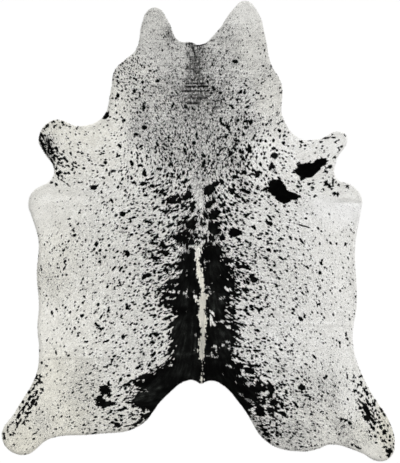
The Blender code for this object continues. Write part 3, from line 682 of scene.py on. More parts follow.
# Where the hide stands up a little from the floor.
SWELLS = [Swell(*row) for row in (
    (200, 60, 30, 30, 0.002), (150, 25, 12, 14, 0.0015), (248, 20, 14, 18, 0.0018),
    (110, 140, 40, 20, 0.0018), (300, 165, 36, 22, 0.002), (60, 200, 26, 18, 0.0022),
    (340, 195, 26, 18, 0.0024), (80, 290, 30, 50, 0.0016), (320, 300, 30, 50, 0.0018),
    (200, 300, 26, 90, 0.0014), (110, 390, 40, 20, 0.002), (290, 400, 40, 24, 0.0022),
    (25, 425, 18, 18, 0.002), (380, 430, 14, 20, 0.0022),
)]


# ------------------------------------------------------------------ fields over the hide
BLUR_REACH = 2.5
# Keeps a place far enough inside the last cell to have a next one.
LAST_CELL = 1.001


def smooth_step(value):
    """Rises from 0 to 1 with a soft start and end."""
    value = np.clip(value, 0, 1)
    return value * value * (3 - 2 * value)


def soften(field, reach):
    """Blurs a field by this many of its cells."""
    half = int(np.ceil(reach * BLUR_REACH))
    kernel = np.exp(-0.5 * (np.arange(-half, half + 1) / reach) ** 2)
    kernel /= kernel.sum()
    for axis in (0, 1):
        margin = [(0, 0), (0, 0)]
        margin[axis] = (half, half)
        wide = np.pad(field, margin, mode="reflect")
        count = field.shape[axis]
        field = np.zeros_like(field)
        for k, weight in enumerate(kernel):
            field += weight * (wide[k:k + count] if axis == 0 else wide[:, k:k + count])
    return field


def read_field(field, row, column):
    """A field's value between its cells."""
    row = np.clip(row, 0, field.shape[0] - LAST_CELL)
    column = np.clip(column, 0, field.shape[1] - LAST_CELL)
    r = row.astype(int)
    c = column.astype(int)
    down = row - r
    across = column - c
    upper = field[r, c] * (1 - across) + field[r, c + 1] * across
    lower = field[r + 1, c] * (1 - across) + field[r + 1, c + 1] * across
    return upper * (1 - down) + lower * down


def guide_grid():
    """The places, as u and v, that the guide fields give values for."""
    u = np.arange(0, PICTURE_U + GUIDE_STEP, GUIDE_STEP)
    v = np.arange(0, PICTURE_V + GUIDE_STEP, GUIDE_STEP)
    return np.meshgrid(u, v)


def map_grid():
    """The places, as u and v, of the cells of the coat's maps."""
    v, u = np.mgrid[0:ROWS, 0:COLUMNS] * CELL
    return u, v


def from_guide(field, u, v):
    return read_field(field, v / GUIDE_STEP, u / GUIDE_STEP)


def from_map(field, u, v):
    return read_field(field, v / CELL, u / CELL)


def to_picture(x, y):
    return x / PIXEL + SPINE_U, MIDDLE_V - y / PIXEL


def to_hide(u, v):
    return (u - SPINE_U) * PIXEL, (MIDDLE_V - v) * PIXEL


def away_from(spot, u, v):
    """How far places are from a spot's middle: squared, 1 at its reach."""
    return ((u - spot.u) / spot.reach_u) ** 2 + ((v - spot.v) / spot.reach_v) ** 2


def lie_of_the_hair():
    """Which way the hair points, as two guide fields along u and v."""
    u, v = guide_grid()
    along_u = np.zeros_like(u)
    along_v = np.zeros_like(u)
    for lie in LIE_OF_THE_HAIR:
        weight = 1 / (((u - lie.u) ** 2 + (v - lie.v) ** 2) / LIE_REACH ** 2 + 1) ** 2
        along_u += weight * np.cos(np.radians(lie.heading))
        along_v += weight * np.sin(np.radians(lie.heading))
    size = np.hypot(along_u, along_v) + 1e-9
    return along_u / size, along_v / size


def coat_areas():
    """The areas' cover, grain, roan, tone and warmth, blended into guide fields."""
    u, v = guide_grid()
    total = np.full_like(u, OPEN_COAT_WEIGHT)
    sums = [total * value for value in OPEN_COAT[4:]]
    for area in COAT_AREAS:
        weight = np.exp(-away_from(area, u, v))
        total = total + weight
        sums = [part + weight * value for part, value in zip(sums, area[4:])]
    return [part / total for part in sums]


def combed_noise(rng, noise, lie):
    """Noise of even strength, drawn out along the lie of the hair."""
    base = soften(rng.standard_normal((ROWS, COLUMNS)), noise.grain)
    rows, columns = np.mgrid[0:ROWS, 0:COLUMNS].astype(float)
    total = base.copy()
    for k in range(1, noise.comb + 1):
        total += read_field(base, rows + k * lie[1], columns + k * lie[0])
        total += read_field(base, rows - k * lie[1], columns - k * lie[0])
    return total / total.std()


# ------------------------------------------------------------------ black and white
def lay_patches(level, patches, usual=MARK_RAGGED):
    """Raises the level inside each patch. Usual is how ragged a patch is that doesn't say."""
    for patch in patches:
        ragged = getattr(patch, "ragged", usual)
        reach = max(patch.half_length, patch.half_width) + CLEAR * ragged + 1
        r0 = int(max((patch.v - reach) / CELL, 0))
        r1 = int(min((patch.v + reach) / CELL + 1, ROWS))
        c0 = int(max((patch.u - reach) / CELL, 0))
        c1 = int(min((patch.u + reach) / CELL + 1, COLUMNS))
        v, u = np.mgrid[r0:r1, c0:c1] * CELL
        turn = np.radians(patch.slant)
        along = (u - patch.u) * np.cos(turn) + (v - patch.v) * np.sin(turn)
        aside = (v - patch.v) * np.cos(turn) - (u - patch.u) * np.sin(turn)
        out = np.hypot(along / patch.half_length, aside / patch.half_width) - 1
        out = out * min(patch.half_length, patch.half_width)
        inside = np.clip(-out / (EDGE_STEP * ragged + SHARPEST), -CLEAR, SOLID / ragged)
        part = level[r0:r1, c0:c1]
        np.maximum(part, inside, out=part)


def at_rows(table, v):
    """The columns of a table of stations after its v, read at each row of the map."""
    stations = np.array(table)
    return [np.interp(v[:, 0], stations[:, 0], column)[:, None] for column in stations[:, 1:].T]


def lay_saddle(level, u, v):
    left, right = at_rows(SADDLE, v)
    top, foot = SADDLE[0].v, SADDLE[-1].v
    saddle = np.minimum(np.minimum(u - left, right - u) / SADDLE_RAGGED, (v - top) / SADDLE_TOP_RAGGED)
    reached = (v >= top - 2 * SADDLE_TOP_RAGGED) & (v <= foot)
    return np.where(reached, np.maximum(level, np.clip(saddle, -CLEAR, CLEAR)), level)


def stripe_share(u, v, noise):
    """How much of the hair is white along the spine, and how creamy it is there."""
    left, right, fullness, cream = at_rows(STRIPE, v)
    inside = np.minimum(np.minimum(u - left, right - u) / STRIPE_RAGGED, fullness)
    reached = (v > STRIPE[0].v) & (v < STRIPE[-1].v)
    level = (np.clip(inside, -CLEAR, CLEAR) + noise) / STRIPE_SOFT + 0.5
    share = np.where(reached, smooth_step(level), 0)
    return share, share * cream


def in_crease(crease, u, v):
    """1 along the middle of a crease, falling to nothing beside and past it."""
    du, dv = crease.u1 - crease.u0, crease.v1 - crease.v0
    length = np.hypot(du, dv)
    along = ((u - crease.u0) * du + (v - crease.v0) * dv) / length
    aside = ((v - crease.v0) * du - (u - crease.u0) * dv) / length
    past = np.maximum(np.maximum(-along, along - length), 0)
    return np.exp(-(aside / crease.width) ** 2 - (past / (2 * crease.width)) ** 2)


def crease_shade(u, v):
    """Painted shade: how dark the hair is in the creases, and how much paler on the ridges beside them.
    """
    furrow = np.zeros_like(u)
    ridge = np.zeros_like(u)
    for crease in CREASES:
        wider = crease._replace(width=RIDGE_WIDTH * crease.width)
        furrow = np.maximum(furrow, crease.shade * in_crease(crease, u, v))
        ridge = np.maximum(ridge, crease.shade * in_crease(wider, u, v))
    return furrow, ridge * (1 - furrow)


def strew_speckles(rng, lie_map, cover_map, grain_map):
    """Where small black spots lie, how large they are and how much they are drawn out."""
    step = SPECKLE_STEP
    v, u = np.mgrid[0:PICTURE_V:step * ROW_STEP, 0:PICTURE_U:step]
    u = u + (np.arange(len(u)) % 2)[:, None] * step / 2
    u = (u + rng.uniform(-SPECKLE_LOOSE, SPECKLE_LOOSE, u.shape) * step).ravel()
    v = (v + rng.uniform(-SPECKLE_LOOSE, SPECKLE_LOOSE, v.shape) * step).ravel()
    cover = np.clip(from_guide(cover_map, u, v), 0, FULLEST_COVER)
    grain = GRAIN_SHARE * from_guide(grain_map, u, v)
    size = grain * np.exp(rng.normal(0, SIZE_SPREAD, len(u)))
    behind_neck = smooth_step((v - NECK_ENDS) / BODY_STARTS_AFTER)
    drawn_out = NECK_DRAWN_OUT + (1 - NECK_DRAWN_OUT) * behind_neck
    longer = 1 + rng.uniform(0, LONGEST, len(u)) * drawn_out
    usual = np.pi * grain ** 2 * (1 + LONGEST / 2 * drawn_out) * OVERLAP
    kept = rng.random(len(u)) < -np.log(1 - cover) * step * step * ROW_STEP / usual
    u, v, size, longer = u[kept], v[kept], size[kept], longer[kept]
    faint = rng.random(len(u)) < FAINT_SPECKLES
    strength = np.where(faint, rng.uniform(*FAINT_STRENGTH, len(u)), 1.0)
    lie_u = from_guide(lie_map[0], u, v)
    lie_v = from_guide(lie_map[1], u, v)
    return [column[:, None, None] for column in (u, v, size, longer, strength, lie_u, lie_v)]


def speckle_coat(dark, rng, lie_map, cover_map, grain_map):
    """Puts the speckles on the coat, as thick and as large as each area has them."""
    u, v, size, longer, strength, lie_u, lie_v = strew_speckles(rng, lie_map, cover_map, grain_map)
    half = int(np.ceil(SPECKLE_REACH / CELL))
    around = np.arange(-half, half + 1)
    row = np.round(v / CELL).astype(int) + around[None, :, None]
    column = np.round(u / CELL).astype(int) + around[None, None, :]
    away_v = row * CELL - v
    away_u = column * CELL - u
    along = (away_u * lie_u + away_v * lie_v) / longer
    aside = away_v * lie_u - away_u * lie_v
    inside = strength * smooth_step((size - np.hypot(along, aside)) / SPECKLE_SOFT + 0.5)
    row, column = np.broadcast_arrays(np.clip(row, 0, ROWS - 1), np.clip(column, 0, COLUMNS - 1))
    np.maximum.at(dark, (row.ravel(), column.ravel()), inside.ravel())


class Coat:
    """The colouring of the whole hide, as maps over the picture's frame."""

    def __init__(self):
        rng = np.random.default_rng(COAT_SEED)
        u, v = map_grid()
        self.lie = lie_of_the_hair()
        lie = [from_guide(part, u, v) for part in self.lie]
        self.cover, self.grain, self.roan, self.tone, self.warmth = coat_areas()
        self.fine = combed_noise(rng, FINE, lie)
        self.strands = combed_noise(rng, STRANDS, lie)
        clumps = combed_noise(rng, CLUMPS, lie)
        noise = EDGE_FINE * self.fine + EDGE_STRANDS * self.strands + EDGE_CLUMPS * clumps
        self.dark = self.black(u, v, noise)
        speckle_coat(self.dark, rng, self.lie, self.cover, self.grain)
        beside_stripe = STRIPE_FINE * self.fine + STRIPE_STRANDS * self.strands
        self.stripe, self.cream = stripe_share(u, v, beside_stripe)
        self.dark *= 1 - np.maximum(self.flecks(u, noise), self.stripe)
        self.smudge_and_fold_light = SMUDGE * combed_noise(rng, SMUDGES, lie) + CLUMP_SMUDGE * clumps
        # The folds' painted light and shade go into the white hair's tone, on top of the smudges.
        for fold in FOLDS:
            self.smudge_and_fold_light += fold.shade * in_crease(fold, u, v)
        self.wrinkle(u, v, combed_noise(rng, WRINKLES, (np.ones_like(u), np.zeros_like(u))))
        self.beside_black = soften(self.dark, BESIDE_BLACK)
        # The black hair's painted sheen, streaked along the clumps and strands.
        streaks = SHEEN_CLUMPS * clumps + SHEEN_STRANDS * self.strands
        self.sheen = self.black_sheen(u, v) * np.exp(streaks)

    def black(self, u, v, noise):
        """The black of the saddle, the patches, the marks and the strokes."""
        level = lay_saddle(np.full_like(u, -CLEAR), u, v)
        lay_patches(level, BLACK_PATCHES)
        marks = np.full_like(u, NOWHERE)
        lay_patches(marks, MARKS)
        marks = marks + MARK_LEVEL + MARK_NOISE * noise
        strokes = np.full_like(u, NOWHERE)
        lay_patches(strokes, LEG_STROKES, STROKE_RAGGED)
        strokes = strokes + STROKE_LEVEL + STROKE_FINE * self.fine + STROKE_STRANDS * self.strands
        level = np.maximum(np.maximum(level + noise, marks), strokes)
        smoky = np.exp(-away_from(SMOKY, u, v))
        return smooth_step(level / (BLACK_SOFT + SMOKY.height * smoky) + 0.5)

    def flecks(self, u, noise):
        """The share of white hair in the flecks."""
        white = np.zeros_like(u)
        for fleck in WHITE_FLECKS:
            inside = np.full_like(u, NOWHERE)
            lay_patches(inside, [fleck._replace(ragged=FLECK_RAGGED * fleck.ragged)])
            level = (inside + noise) / FLECK_SOFT + FLECK_LEVEL
            white = np.maximum(white, fleck.share * smooth_step(level))
        return white

    def wrinkle(self, u, v, wrinkles):
        """Paints shade into the creases, greys the wrinkles and takes the strands from the neck's
        sides.
        """
        neck = np.exp(-((u - NECK.u) / NECK.reach_u) ** 4 - ((v - NECK.v) / NECK.reach_v) ** 4)
        furrow, ridge = crease_shade(u, v)
        deep = furrow * smooth_step(FURROW_LEVEL + FURROW_FINE * self.fine)
        self.dark = np.maximum(self.dark * (1 - RIDGE_PALER * ridge), deep)
        # crease holds the grey share of the creases' painted shade, less on the ridges, and the neck's
        # wrinkles.
        self.crease = FURROW_GREY * furrow - RIDGE_WHITE * ridge + NECK.height * neck * wrinkles
        beside = 1 - np.exp(-((u - NECK_MIDDLE.u) / NECK_MIDDLE.reach_u) ** 2)
        ahead = smooth_step((NECK_MIDDLE.v - v) / NECK_MIDDLE.reach_v)
        self.strands = self.strands * (1 - NECK_MIDDLE.height * ahead * beside)

    def black_sheen(self, u, v):
        """Painted sheen: how light the black hair is painted, as a share of its usual colour."""
        sheen = np.full_like(u, USUAL_SHEEN)
        for spot in BLACK_SHEEN:
            sheen = sheen + spot.lightness * np.exp(-away_from(spot, u, v) ** 2)
        return np.clip(sheen, *SHEEN_RANGE)

    def heading(self, u, v):
        """Which way the hair lies on the hide, in radians."""
        along_u = from_guide(self.lie[0], u, v)
        along_v = from_guide(self.lie[1], u, v)
        return np.arctan2(-along_v, along_u)

    def ground(self, u, v):
        """The white hair's colour at each place, with its cream or cool cast."""
        cover = np.minimum(from_guide(self.cover, u, v), HALF_COVERED)
        tone = from_guide(self.tone, u, v) + PALER_IN_COVER * cover
        # Smudges, and the folds' painted light and shade.
        tone = tone + from_map(self.smudge_and_fold_light, u, v)
        warmth = from_guide(self.warmth, u, v) + from_map(self.cream, u, v)
        return WHITE_HAIR * tone[:, None] * (1 + warmth[:, None] * CREAM_CAST)


# ------------------------------------------------------------------ the hide's relief
def relief():
    """Height of the skin over a flat floor, away from the hide's edge, on the coat's cells."""
    u, v = map_grid()
    height = np.zeros_like(u)
    for swell in SWELLS:
        height = height + swell.height * np.exp(-away_from(swell, u, v))
    for crease in CREASES + FOLDS:
        height = height - crease.depth * in_crease(crease, u, v)
    return np.maximum(height, 0) + LEATHER


class Lay:
    """How the hide lies: its height over the floor, coming down to a thin rim at the edge."""

    def __init__(self, footprint):
        self.footprint = footprint
        self.height = relief()

    def inside(self, x, y):
        """0 at the edge and past it, 1 from about 5 mm in."""
        return smooth_step((self.footprint.look(x, y) - EDGE_LOOK) / FLAT_BY)

    def suede(self, x, y):
        """The height of the underside."""
        return (from_map(self.height, *to_picture(x, y)) - LEATHER) * self.inside(x, y)

    def skin(self, x, y):
        """The height of the upper side, and past the edge that of the hair hanging over it."""
        hanging = smooth_step(self.footprint.look(x, y) / EDGE_LOOK)
        rim = RIM * (THINNEST + (1 - THINNEST) * hanging)
        return self.suede(x, y) + LEATHER * (rim + (1 - RIM) * self.inside(x, y))


# ------------------------------------------------------------------ the hide's outline
def hide_edge(node):
    """The outline of the CAD sheet, rounded off and a little larger, as an array of x and y."""
    ring_z = cad_bounds[1][2] - EDGE_ROUND
    work = bmesh.new()
    work.from_mesh(node.data)
    bmesh.ops.transform(work, matrix=node.matrix_world, verts=work.verts)
    bmesh.ops.remove_doubles(work, verts=work.verts, dist=SAME_PLACE)
    ring = {vert for vert in work.verts if abs(vert.co.z - ring_z) < SAME_HEIGHT}
    vert = min(ring, key=lambda item: tuple(item.co))
    before = None
    points = []
    while vert is not None and len(points) <= len(ring):
        points.append((vert.co.x, vert.co.y))
        beside = [edge.other_vert(vert) for edge in vert.link_edges]
        beside = [item for item in beside if item in ring and item is not before]
        if len(points) > 2:
            beside = [item for item in beside if (item.co.x, item.co.y) != points[0]]
        before = vert
        vert = beside[0] if beside else None
    work.free()
    return grown(rounded(np.array(points)), TRIM_OUT)


def rounded(points):
    """Rounds a closed outline off between its points."""
    before, after, next_after = (np.roll(points, shift, 0) for shift in (1, -1, -2))
    steps = []
    for t in np.arange(EDGE_STEPS) / EDGE_STEPS:
        bend = -before + 3 * points - 3 * after + next_after
        turn = 2 * before - 5 * points + 4 * after - next_after
        steps.append(0.5 * (2 * points + (after - before) * t + turn * t ** 2 + bend * t ** 3))
    return np.stack(steps, 1).reshape(-1, 2)


def grown(points, by):
    """Moves a closed outline outward."""
    ahead = np.roll(points, -1, 0) - np.roll(points, 1, 0)
    ahead /= np.hypot(*ahead.T)[:, None]
    x, y = points.T
    turned = np.sign((x * np.roll(y, -1) - y * np.roll(x, -1)).sum())
    return points + by * turned * np.c_[ahead[:, 1], -ahead[:, 0]]


class Footprint:
    """Tells which places lie on the hide, from its outline, on a fine grid."""

    step = 0.001
    margin = 0.02
    blur = 3.0
    # The wide field has this many steps to a cell.
    coarse = 4
    wide_blur = 3.2

    def __init__(self, edge):
        self.low = edge.min(0) - self.margin
        size = edge.max(0) + self.margin - self.low
        columns, rows = (size / self.step).astype(int) + 1
        on = np.zeros((rows, columns), bool)
        x0, y0 = edge.T
        x1, y1 = np.roll(edge, -1, 0).T
        places = self.low[0] + (np.arange(columns) + 0.5) * self.step
        for row in range(rows):
            y = self.low[1] + (row + 0.5) * self.step
            cross = (y0 > y) != (y1 > y)
            at = x0[cross] + (y - y0[cross]) * (x1[cross] - x0[cross]) / (y1[cross] - y0[cross])
            on[row] = np.searchsorted(np.sort(at), places) % 2 == 1
        self.share = soften(on.astype(np.float32), self.blur)
        self.wide = soften(self.share[::self.coarse, ::self.coarse], self.wide_blur)

    def cell(self, x, y):
        """The row and column of a place."""
        return (y - self.low[1]) / self.step - 0.5, (x - self.low[0]) / self.step - 0.5

    def look(self, x, y):
        """How far in a place is: 0.5 at the edge, 1 from about 8 mm inside."""
        return read_field(self.share, *self.cell(x, y))

    def rim(self, x, y):
        """1 at the edge, down to 0 about 30 mm in."""
        row, column = self.cell(x, y)
        return np.clip(2 - 2 * read_field(self.wide, row / self.coarse, column / self.coarse), 0, 1)

    def outward(self, x, y):
        """The way off the hide, as a heading."""
        reach = 2 * self.step
        across = self.look(x + reach, y) - self.look(x - reach, y)
        along = self.look(x, y + reach) - self.look(x, y - reach)
        return np.arctan2(-along, -across)


def scatter(edge, step, rng, loose):
    """Points over the hide's box in staggered rows, each moved a little."""
    low, high = edge.min(0), edge.max(0)
    y = np.arange(low[1], high[1], step * ROW_STEP)
    x = np.arange(low[0], high[0], step)
    x, y = np.meshgrid(x, y)
    x = x + (np.arange(len(y)) % 2)[:, None] * step / 2
    x = x + rng.uniform(-loose, loose, x.shape) * step
    y = y + rng.uniform(-loose, loose, y.shape) * step
    return x.ravel(), y.ravel()


# ------------------------------------------------------------------ meshes
def filled(edge, x, y):
    """Triangles between the outline and the points inside it."""
    points = [tuple(point) for point in edge] + list(zip(x, y))
    inside_only = 1
    tolerance = 1e-7
    result = delaunay_2d_cdt(points, [], [list(range(len(edge)))], inside_only, tolerance)
    return np.array([tuple(point) for point in result[0]]), np.array(result[2])


def facing_up(points, faces):
    a, b, c = (points[faces[:, k]] for k in range(3))
    area = (b - a)[:, 0] * (c - a)[:, 1] - (b - a)[:, 1] * (c - a)[:, 0]
    return np.where((area > 0)[:, None], faces, faces[:, ::-1])


def rim_faces(edge, below):
    """Triangles between the upper outline and the lower one, whose first point is below."""
    a = np.arange(len(edge))
    b = (a + 1) % len(edge)
    clockwise = ((edge[b] - edge[a])[:, 0] * (edge[a] + edge[b])[:, 1]).sum() > 0
    if not clockwise:
        a, b = b, a
    return np.vstack([np.c_[a, b, b + below], np.c_[a, b + below, a + below]])


def mesh_from(name, points, faces):
    """A mesh of triangles from arrays."""
    mesh = bpy.data.meshes.new(name)
    mesh.vertices.add(len(points))
    mesh.vertices.foreach_set("co", points.astype(np.float32).ravel())
    mesh.loops.add(faces.size)
    mesh.loops.foreach_set("vertex_index", faces.astype(np.int32).ravel())
    mesh.polygons.add(len(faces))
    mesh.polygons.foreach_set("loop_start", np.arange(0, faces.size, 3, dtype=np.int32))
    mesh.update(calc_edges=True)
    mesh.shade_smooth()
    return mesh


def paint(mesh, colours):
    """Stores a colour for each vertex."""
    layer = mesh.color_attributes.new("coat", "FLOAT_COLOR", "POINT")
    opaque = np.ones((len(colours), 4), np.float32)
    opaque[:, :3] = np.clip(colours, 0, 1)
    layer.data.foreach_set("color", opaque.ravel())


def place(name, mesh, material):
    """Puts a mesh into the scene."""
    mesh.materials.append(material)
    item = bpy.data.objects.new(name, mesh)
    bpy.context.scene.collection.objects.link(item)
    return item


# ------------------------------------------------------------------ the leather
def make_leather(edge, footprint, coat, lay, material):
    rng = np.random.default_rng(LEATHER_SEED)
    x, y = scatter(edge, SKIN_STEP, rng, SKIN_LOOSE)
    keep = footprint.look(x, y) > SKIN_INSIDE
    top, top_faces = filled(edge, x[keep], y[keep])
    x, y = scatter(edge, SUEDE_STEP, rng, SUEDE_LOOSE)
    keep = footprint.look(x, y) > WELL_INSIDE
    under, under_faces = filled(edge, x[keep], y[keep])

    points = np.vstack([np.c_[top, lay.skin(*top.T)], np.c_[under, lay.suede(*under.T)]])
    top_faces = facing_up(top, top_faces)
    under_faces = facing_up(under, under_faces)[:, ::-1] + len(top)
    faces = np.vstack([top_faces, under_faces, rim_faces(edge, len(top))])
    mesh = mesh_from("hide", points, faces)

    u, v = to_picture(*top.T)
    dark = from_map(coat.dark, u, v)[:, None]
    # The skin takes the coat's colour, darkened as painted shade under the hair.
    skin = coat.ground(u, v) * SHADE_UNDER_HAIR * (1 - dark) + BLACK_HAIR * dark
    suede = SUEDE * rng.uniform(*SUEDE_SHADES, (len(under), 1))
    paint(mesh, np.vstack([skin, suede]))
    return place("hide", mesh, material)


# ------------------------------------------------------------------ the hair
def along_hair(x, y, turn, length, share=1):
    """The place this far along each hair."""
    return x + np.cos(turn) * length * share, y + np.sin(turn) * length * share


def comb_hair(edge, footprint, coat, rng):
    """Where each hair grows, which way it lies and how long it is."""
    x, y = scatter(edge, HAIR_STEP, rng, HAIR_LOOSE)
    keep = footprint.look(x, y) > EDGE_LOOK
    x, y = x[keep], y[keep]
    u, v = to_picture(x, y)
    turn = coat.heading(u, v) + rng.normal(0, STRAY, len(x))
    splay = SPLAY * smooth_step((WELL_INSIDE - footprint.look(x, y)) / SPLAY_BY)
    aside = footprint.outward(x, y) - turn
    turn = turn + splay * np.arctan2(np.sin(aside), np.cos(aside))
    coarseness = np.clip(from_guide(coat.grain, u, v) / COARSE_GRAIN, *COARSENESS)
    length = HAIR_LENGTH * rng.uniform(*HAIR_LENGTHS, len(x)) * coarseness
    for shorter in TRIMMED:
        tip_in = footprint.look(*along_hair(x, y, turn, length))
        length = np.where(tip_in < TOO_FAR_OUT, length * shorter, length)
    keep = footprint.look(*along_hair(x, y, turn, length)) > FARTHEST_OUT
    return x[keep], y[keep], turn[keep], length[keep]


def hair_shade(rng, coat, seen, in_stripe):
    """How light each white or grey hair is."""
    count = len(in_stripe)
    fine = from_map(coat.fine, *seen)
    strands = from_map(coat.strands, *seen)
    mottle = np.clip(1 + MOTTLE_FINE * fine + MOTTLE_STRANDS * strands, 0, 2)
    # The creases' painted shade adds grey hairs here, as do the neck's wrinkles.
    greyness = from_guide(coat.roan, *seen) * mottle + from_map(coat.crease, *seen)
    grey = rng.random(count) < greyness * (1 - STRIPE_CLEAR_OF_GREY * in_stripe)
    speckled = np.clip(from_guide(coat.cover, *seen) / SPECKLED_COVER, 0, 1)
    shade = 1 + (CALM.single + LIVELY.single * speckled) * rng.normal(0, 1, count)
    shade = shade + (CALM.fine + LIVELY.fine * speckled) * fine
    shade = shade + (CALM.strands + LIVELY.strands * in_stripe) * strands
    shade = shade * np.where(grey, GREY_HAIR, 1) * (1 - STRIPE_SHADE * in_stripe)
    return shade * (AWAY_FROM_BLACK + NEAR_BLACK * from_map(coat.beside_black, *seen))


def painted_rim_shade(x, y, footprint):
    """Painted shade: darkens the colour of hair at the edge that turns away from the light."""
    facing = footprint.outward(x, y)
    rim_shade_share = np.clip(RIM_ALL - RIM_TAIL * np.sin(facing) - RIM_LEFT * np.cos(facing), 0, 1)
    return 1 - RIM_SHADE * rim_shade_share * footprint.rim(x, y)


def grow_hair(edge, footprint, coat):
    """Every hair of the coat from left to right, with a column for each of its facts."""
    rng = np.random.default_rng(HAIR_SEED)
    x, y, turn, length = comb_hair(edge, footprint, coat, rng)
    count = len(x)
    seen = to_picture(*along_hair(x, y, turn, length, SEEN_AT))
    dark = rng.uniform(*BLACK_FROM, count) < from_map(coat.dark, *seen)
    behind = smooth_step((seen[1] - STRIPE_HAIR_FROM) / STRIPE_HAIR_OVER)
    in_stripe = from_map(coat.stripe, *seen) * behind
    # The rim's painted shade darkens each hair's colour.
    shade = hair_shade(rng, coat, seen, in_stripe) * painted_rim_shade(x, y, footprint)
    white = coat.ground(*seen) * np.clip(shade, *SHADE_RANGE)[:, None]
    # Black hair's colour carries its painted sheen.
    sheen = from_map(coat.sheen, *seen) * np.exp(rng.normal(0, BLACK_SPREAD, count))
    colour = np.where(dark[:, None], BLACK_HAIR * sheen[:, None], white)
    return np.c_[x, y, turn, length, rng.random(count), colour][np.argsort(x)]


def hair_strip(name, hairs, lay, material):
    """One lengthwise strip of the coat."""
    x, y, turn, length, spread = hairs[:, :5].T
    count = len(x)
    sideways = np.c_[-np.sin(turn), np.cos(turn)]
    root = np.c_[x, y]
    tip = np.c_[along_hair(x, y, turn, length)]
    skin = lay.skin(x, y)
    rise = HAIR_RISE * (LOWEST_RISE + RISE_SPREAD * spread)
    rise = rise * (THINNEST + (1 - THINNEST) * lay.inside(*tip.T))
    half = sideways * HAIR_WIDTH / 2
    points = np.empty((count, 3, 3))
    points[:, 0] = np.c_[root + half, skin + rise * ROOT_RISE]
    points[:, 1] = np.c_[root - half, skin + rise * ROOT_RISE]
    points[:, 2] = np.c_[tip, lay.skin(*tip.T) + rise]
    mesh = mesh_from(name, points.reshape(-1, 3), np.arange(count * 3).reshape(-1, 3))

    shades = np.array((ROOT_SHADE, ROOT_SHADE, TIP_SHADE))
    colours = hairs[:, None, 5:8] * shades[None, :, None]
    paint(mesh, colours.reshape(-1, 3))
    strand = np.empty((count, 3, 3))
    strand[:, :, 0] = (-1, 1, 0)
    strand[:, :, 1] = (0, 0, 1)
    strand[:, :, 2] = spread[:, None]
    layer = mesh.attributes.new("strand", "FLOAT_VECTOR", "POINT")
    layer.data.foreach_set("vector", strand.astype(np.float32).ravel())
    lay_out(mesh, x, y)
    return place(name, mesh, material)


def lay_out(mesh, x, y):
    """Gives each hair its own small field of the strip's texture, in the order they lie."""
    count = len(x)
    side = int(np.ceil(np.sqrt(count)))
    row = np.empty(count, int)
    column = np.empty(count, int)
    by_length = np.argsort(y)
    for k in range(side):
        members = by_length[k * side:(k + 1) * side]
        members = members[np.argsort(x[members])]
        row[members] = k
        column[members] = np.arange(len(members))
    near, far = FIELD_INSET, 1 - FIELD_INSET
    corners = np.array(((near, near), (far, near), (0.5, far)))
    per_loop = (np.c_[column, row][:, None, :] + corners[None]) / side
    layer = mesh.uv_layers.new(name="OFBake")
    layer.data.foreach_set("uv", per_loop.astype(np.float32).ravel())


# ------------------------------------------------------------------ materials
def new_material(name, shine):
    """A material, its nodes and links, and its shader with this specular level."""
    material = bpy.data.materials.new(name)
    material.use_nodes = True
    shader = material.node_tree.nodes["Principled BSDF"]
    shader.inputs["Specular IOR Level"].default_value = shine
    return material, material.node_tree.nodes, material.node_tree.links, shader


def new_node(nodes, kind, **settings):
    node = nodes.new("ShaderNode" + kind)
    for name, value in settings.items():
        setattr(node, name, value)
    return node


def unevenness():
    """A node group: fine unevenness of a natural surface, in its colour, gloss and height."""
    group = bpy.data.node_groups.new("natural unevenness", "ShaderNodeTree")
    inputs = (("Place", "Vector"), ("Colour", "Color"), ("Scale", "Float"), ("Depth", "Float"),
              ("Smoothest", "Float"), ("Roughest", "Float"))
    outputs = (("Colour", "Color"), ("Roughness", "Float"), ("Height", "Float"))
    for way, sockets in (("INPUT", inputs), ("OUTPUT", outputs)):
        for name, kind in sockets:
            group.interface.new_socket(name, in_out=way, socket_type="NodeSocket" + kind)
    nodes, links = group.nodes, group.links
    given = nodes.new("NodeGroupInput").outputs
    result = nodes.new("NodeGroupOutput").inputs
    noise = new_node(nodes, "TexNoise")
    noise.inputs["Detail"].default_value = 4
    noise.inputs["Roughness"].default_value = 0.6
    links.new(given["Place"], noise.inputs["Vector"])
    links.new(given["Scale"], noise.inputs["Scale"])
    centred = new_node(nodes, "Math", operation="SUBTRACT")
    centred.inputs[1].default_value = 0.5
    links.new(noise.outputs["Fac"], centred.inputs[0])
    shade = new_node(nodes, "Math", operation="MULTIPLY_ADD")
    shade.inputs[2].default_value = 1.0
    links.new(centred.outputs[0], shade.inputs[0])
    links.new(given["Depth"], shade.inputs[1])
    tint = new_node(nodes, "VectorMath", operation="SCALE")
    links.new(given["Colour"], tint.inputs[0])
    links.new(shade.outputs[0], tint.inputs["Scale"])
    gloss = new_node(nodes, "MapRange")
    gloss.inputs["From Min"].default_value = 0.3
    gloss.inputs["From Max"].default_value = 0.7
    links.new(noise.outputs["Fac"], gloss.inputs["Value"])
    links.new(given["Smoothest"], gloss.inputs["To Min"])
    links.new(given["Roughest"], gloss.inputs["To Max"])
    links.new(tint.outputs["Vector"], result["Colour"])
    links.new(gloss.outputs["Result"], result["Roughness"])
    links.new(noise.outputs["Fac"], result["Height"])
    return group


def uneven(nodes, links, group, place, colour, **values):
    """Puts the unevenness into a material with its own values."""
    step = new_node(nodes, "Group", node_tree=group)
    links.new(place, step.inputs["Place"])
    links.new(colour, step.inputs["Colour"])
    for name, value in values.items():
        step.inputs[name].default_value = value
    return step.outputs


def finish_surface(nodes, links, shader, surface, distance):
    """Gives the shader the surface's colour and roughness, and its height as bump."""
    bump = new_node(nodes, "Bump")
    bump.inputs["Strength"].default_value = BUMP_STRENGTH
    bump.inputs["Distance"].default_value = distance
    links.new(surface["Height"], bump.inputs["Height"])
    links.new(bump.outputs["Normal"], shader.inputs["Normal"])
    links.new(surface["Colour"], shader.inputs["Base Color"])
    links.new(surface["Roughness"], shader.inputs["Roughness"])


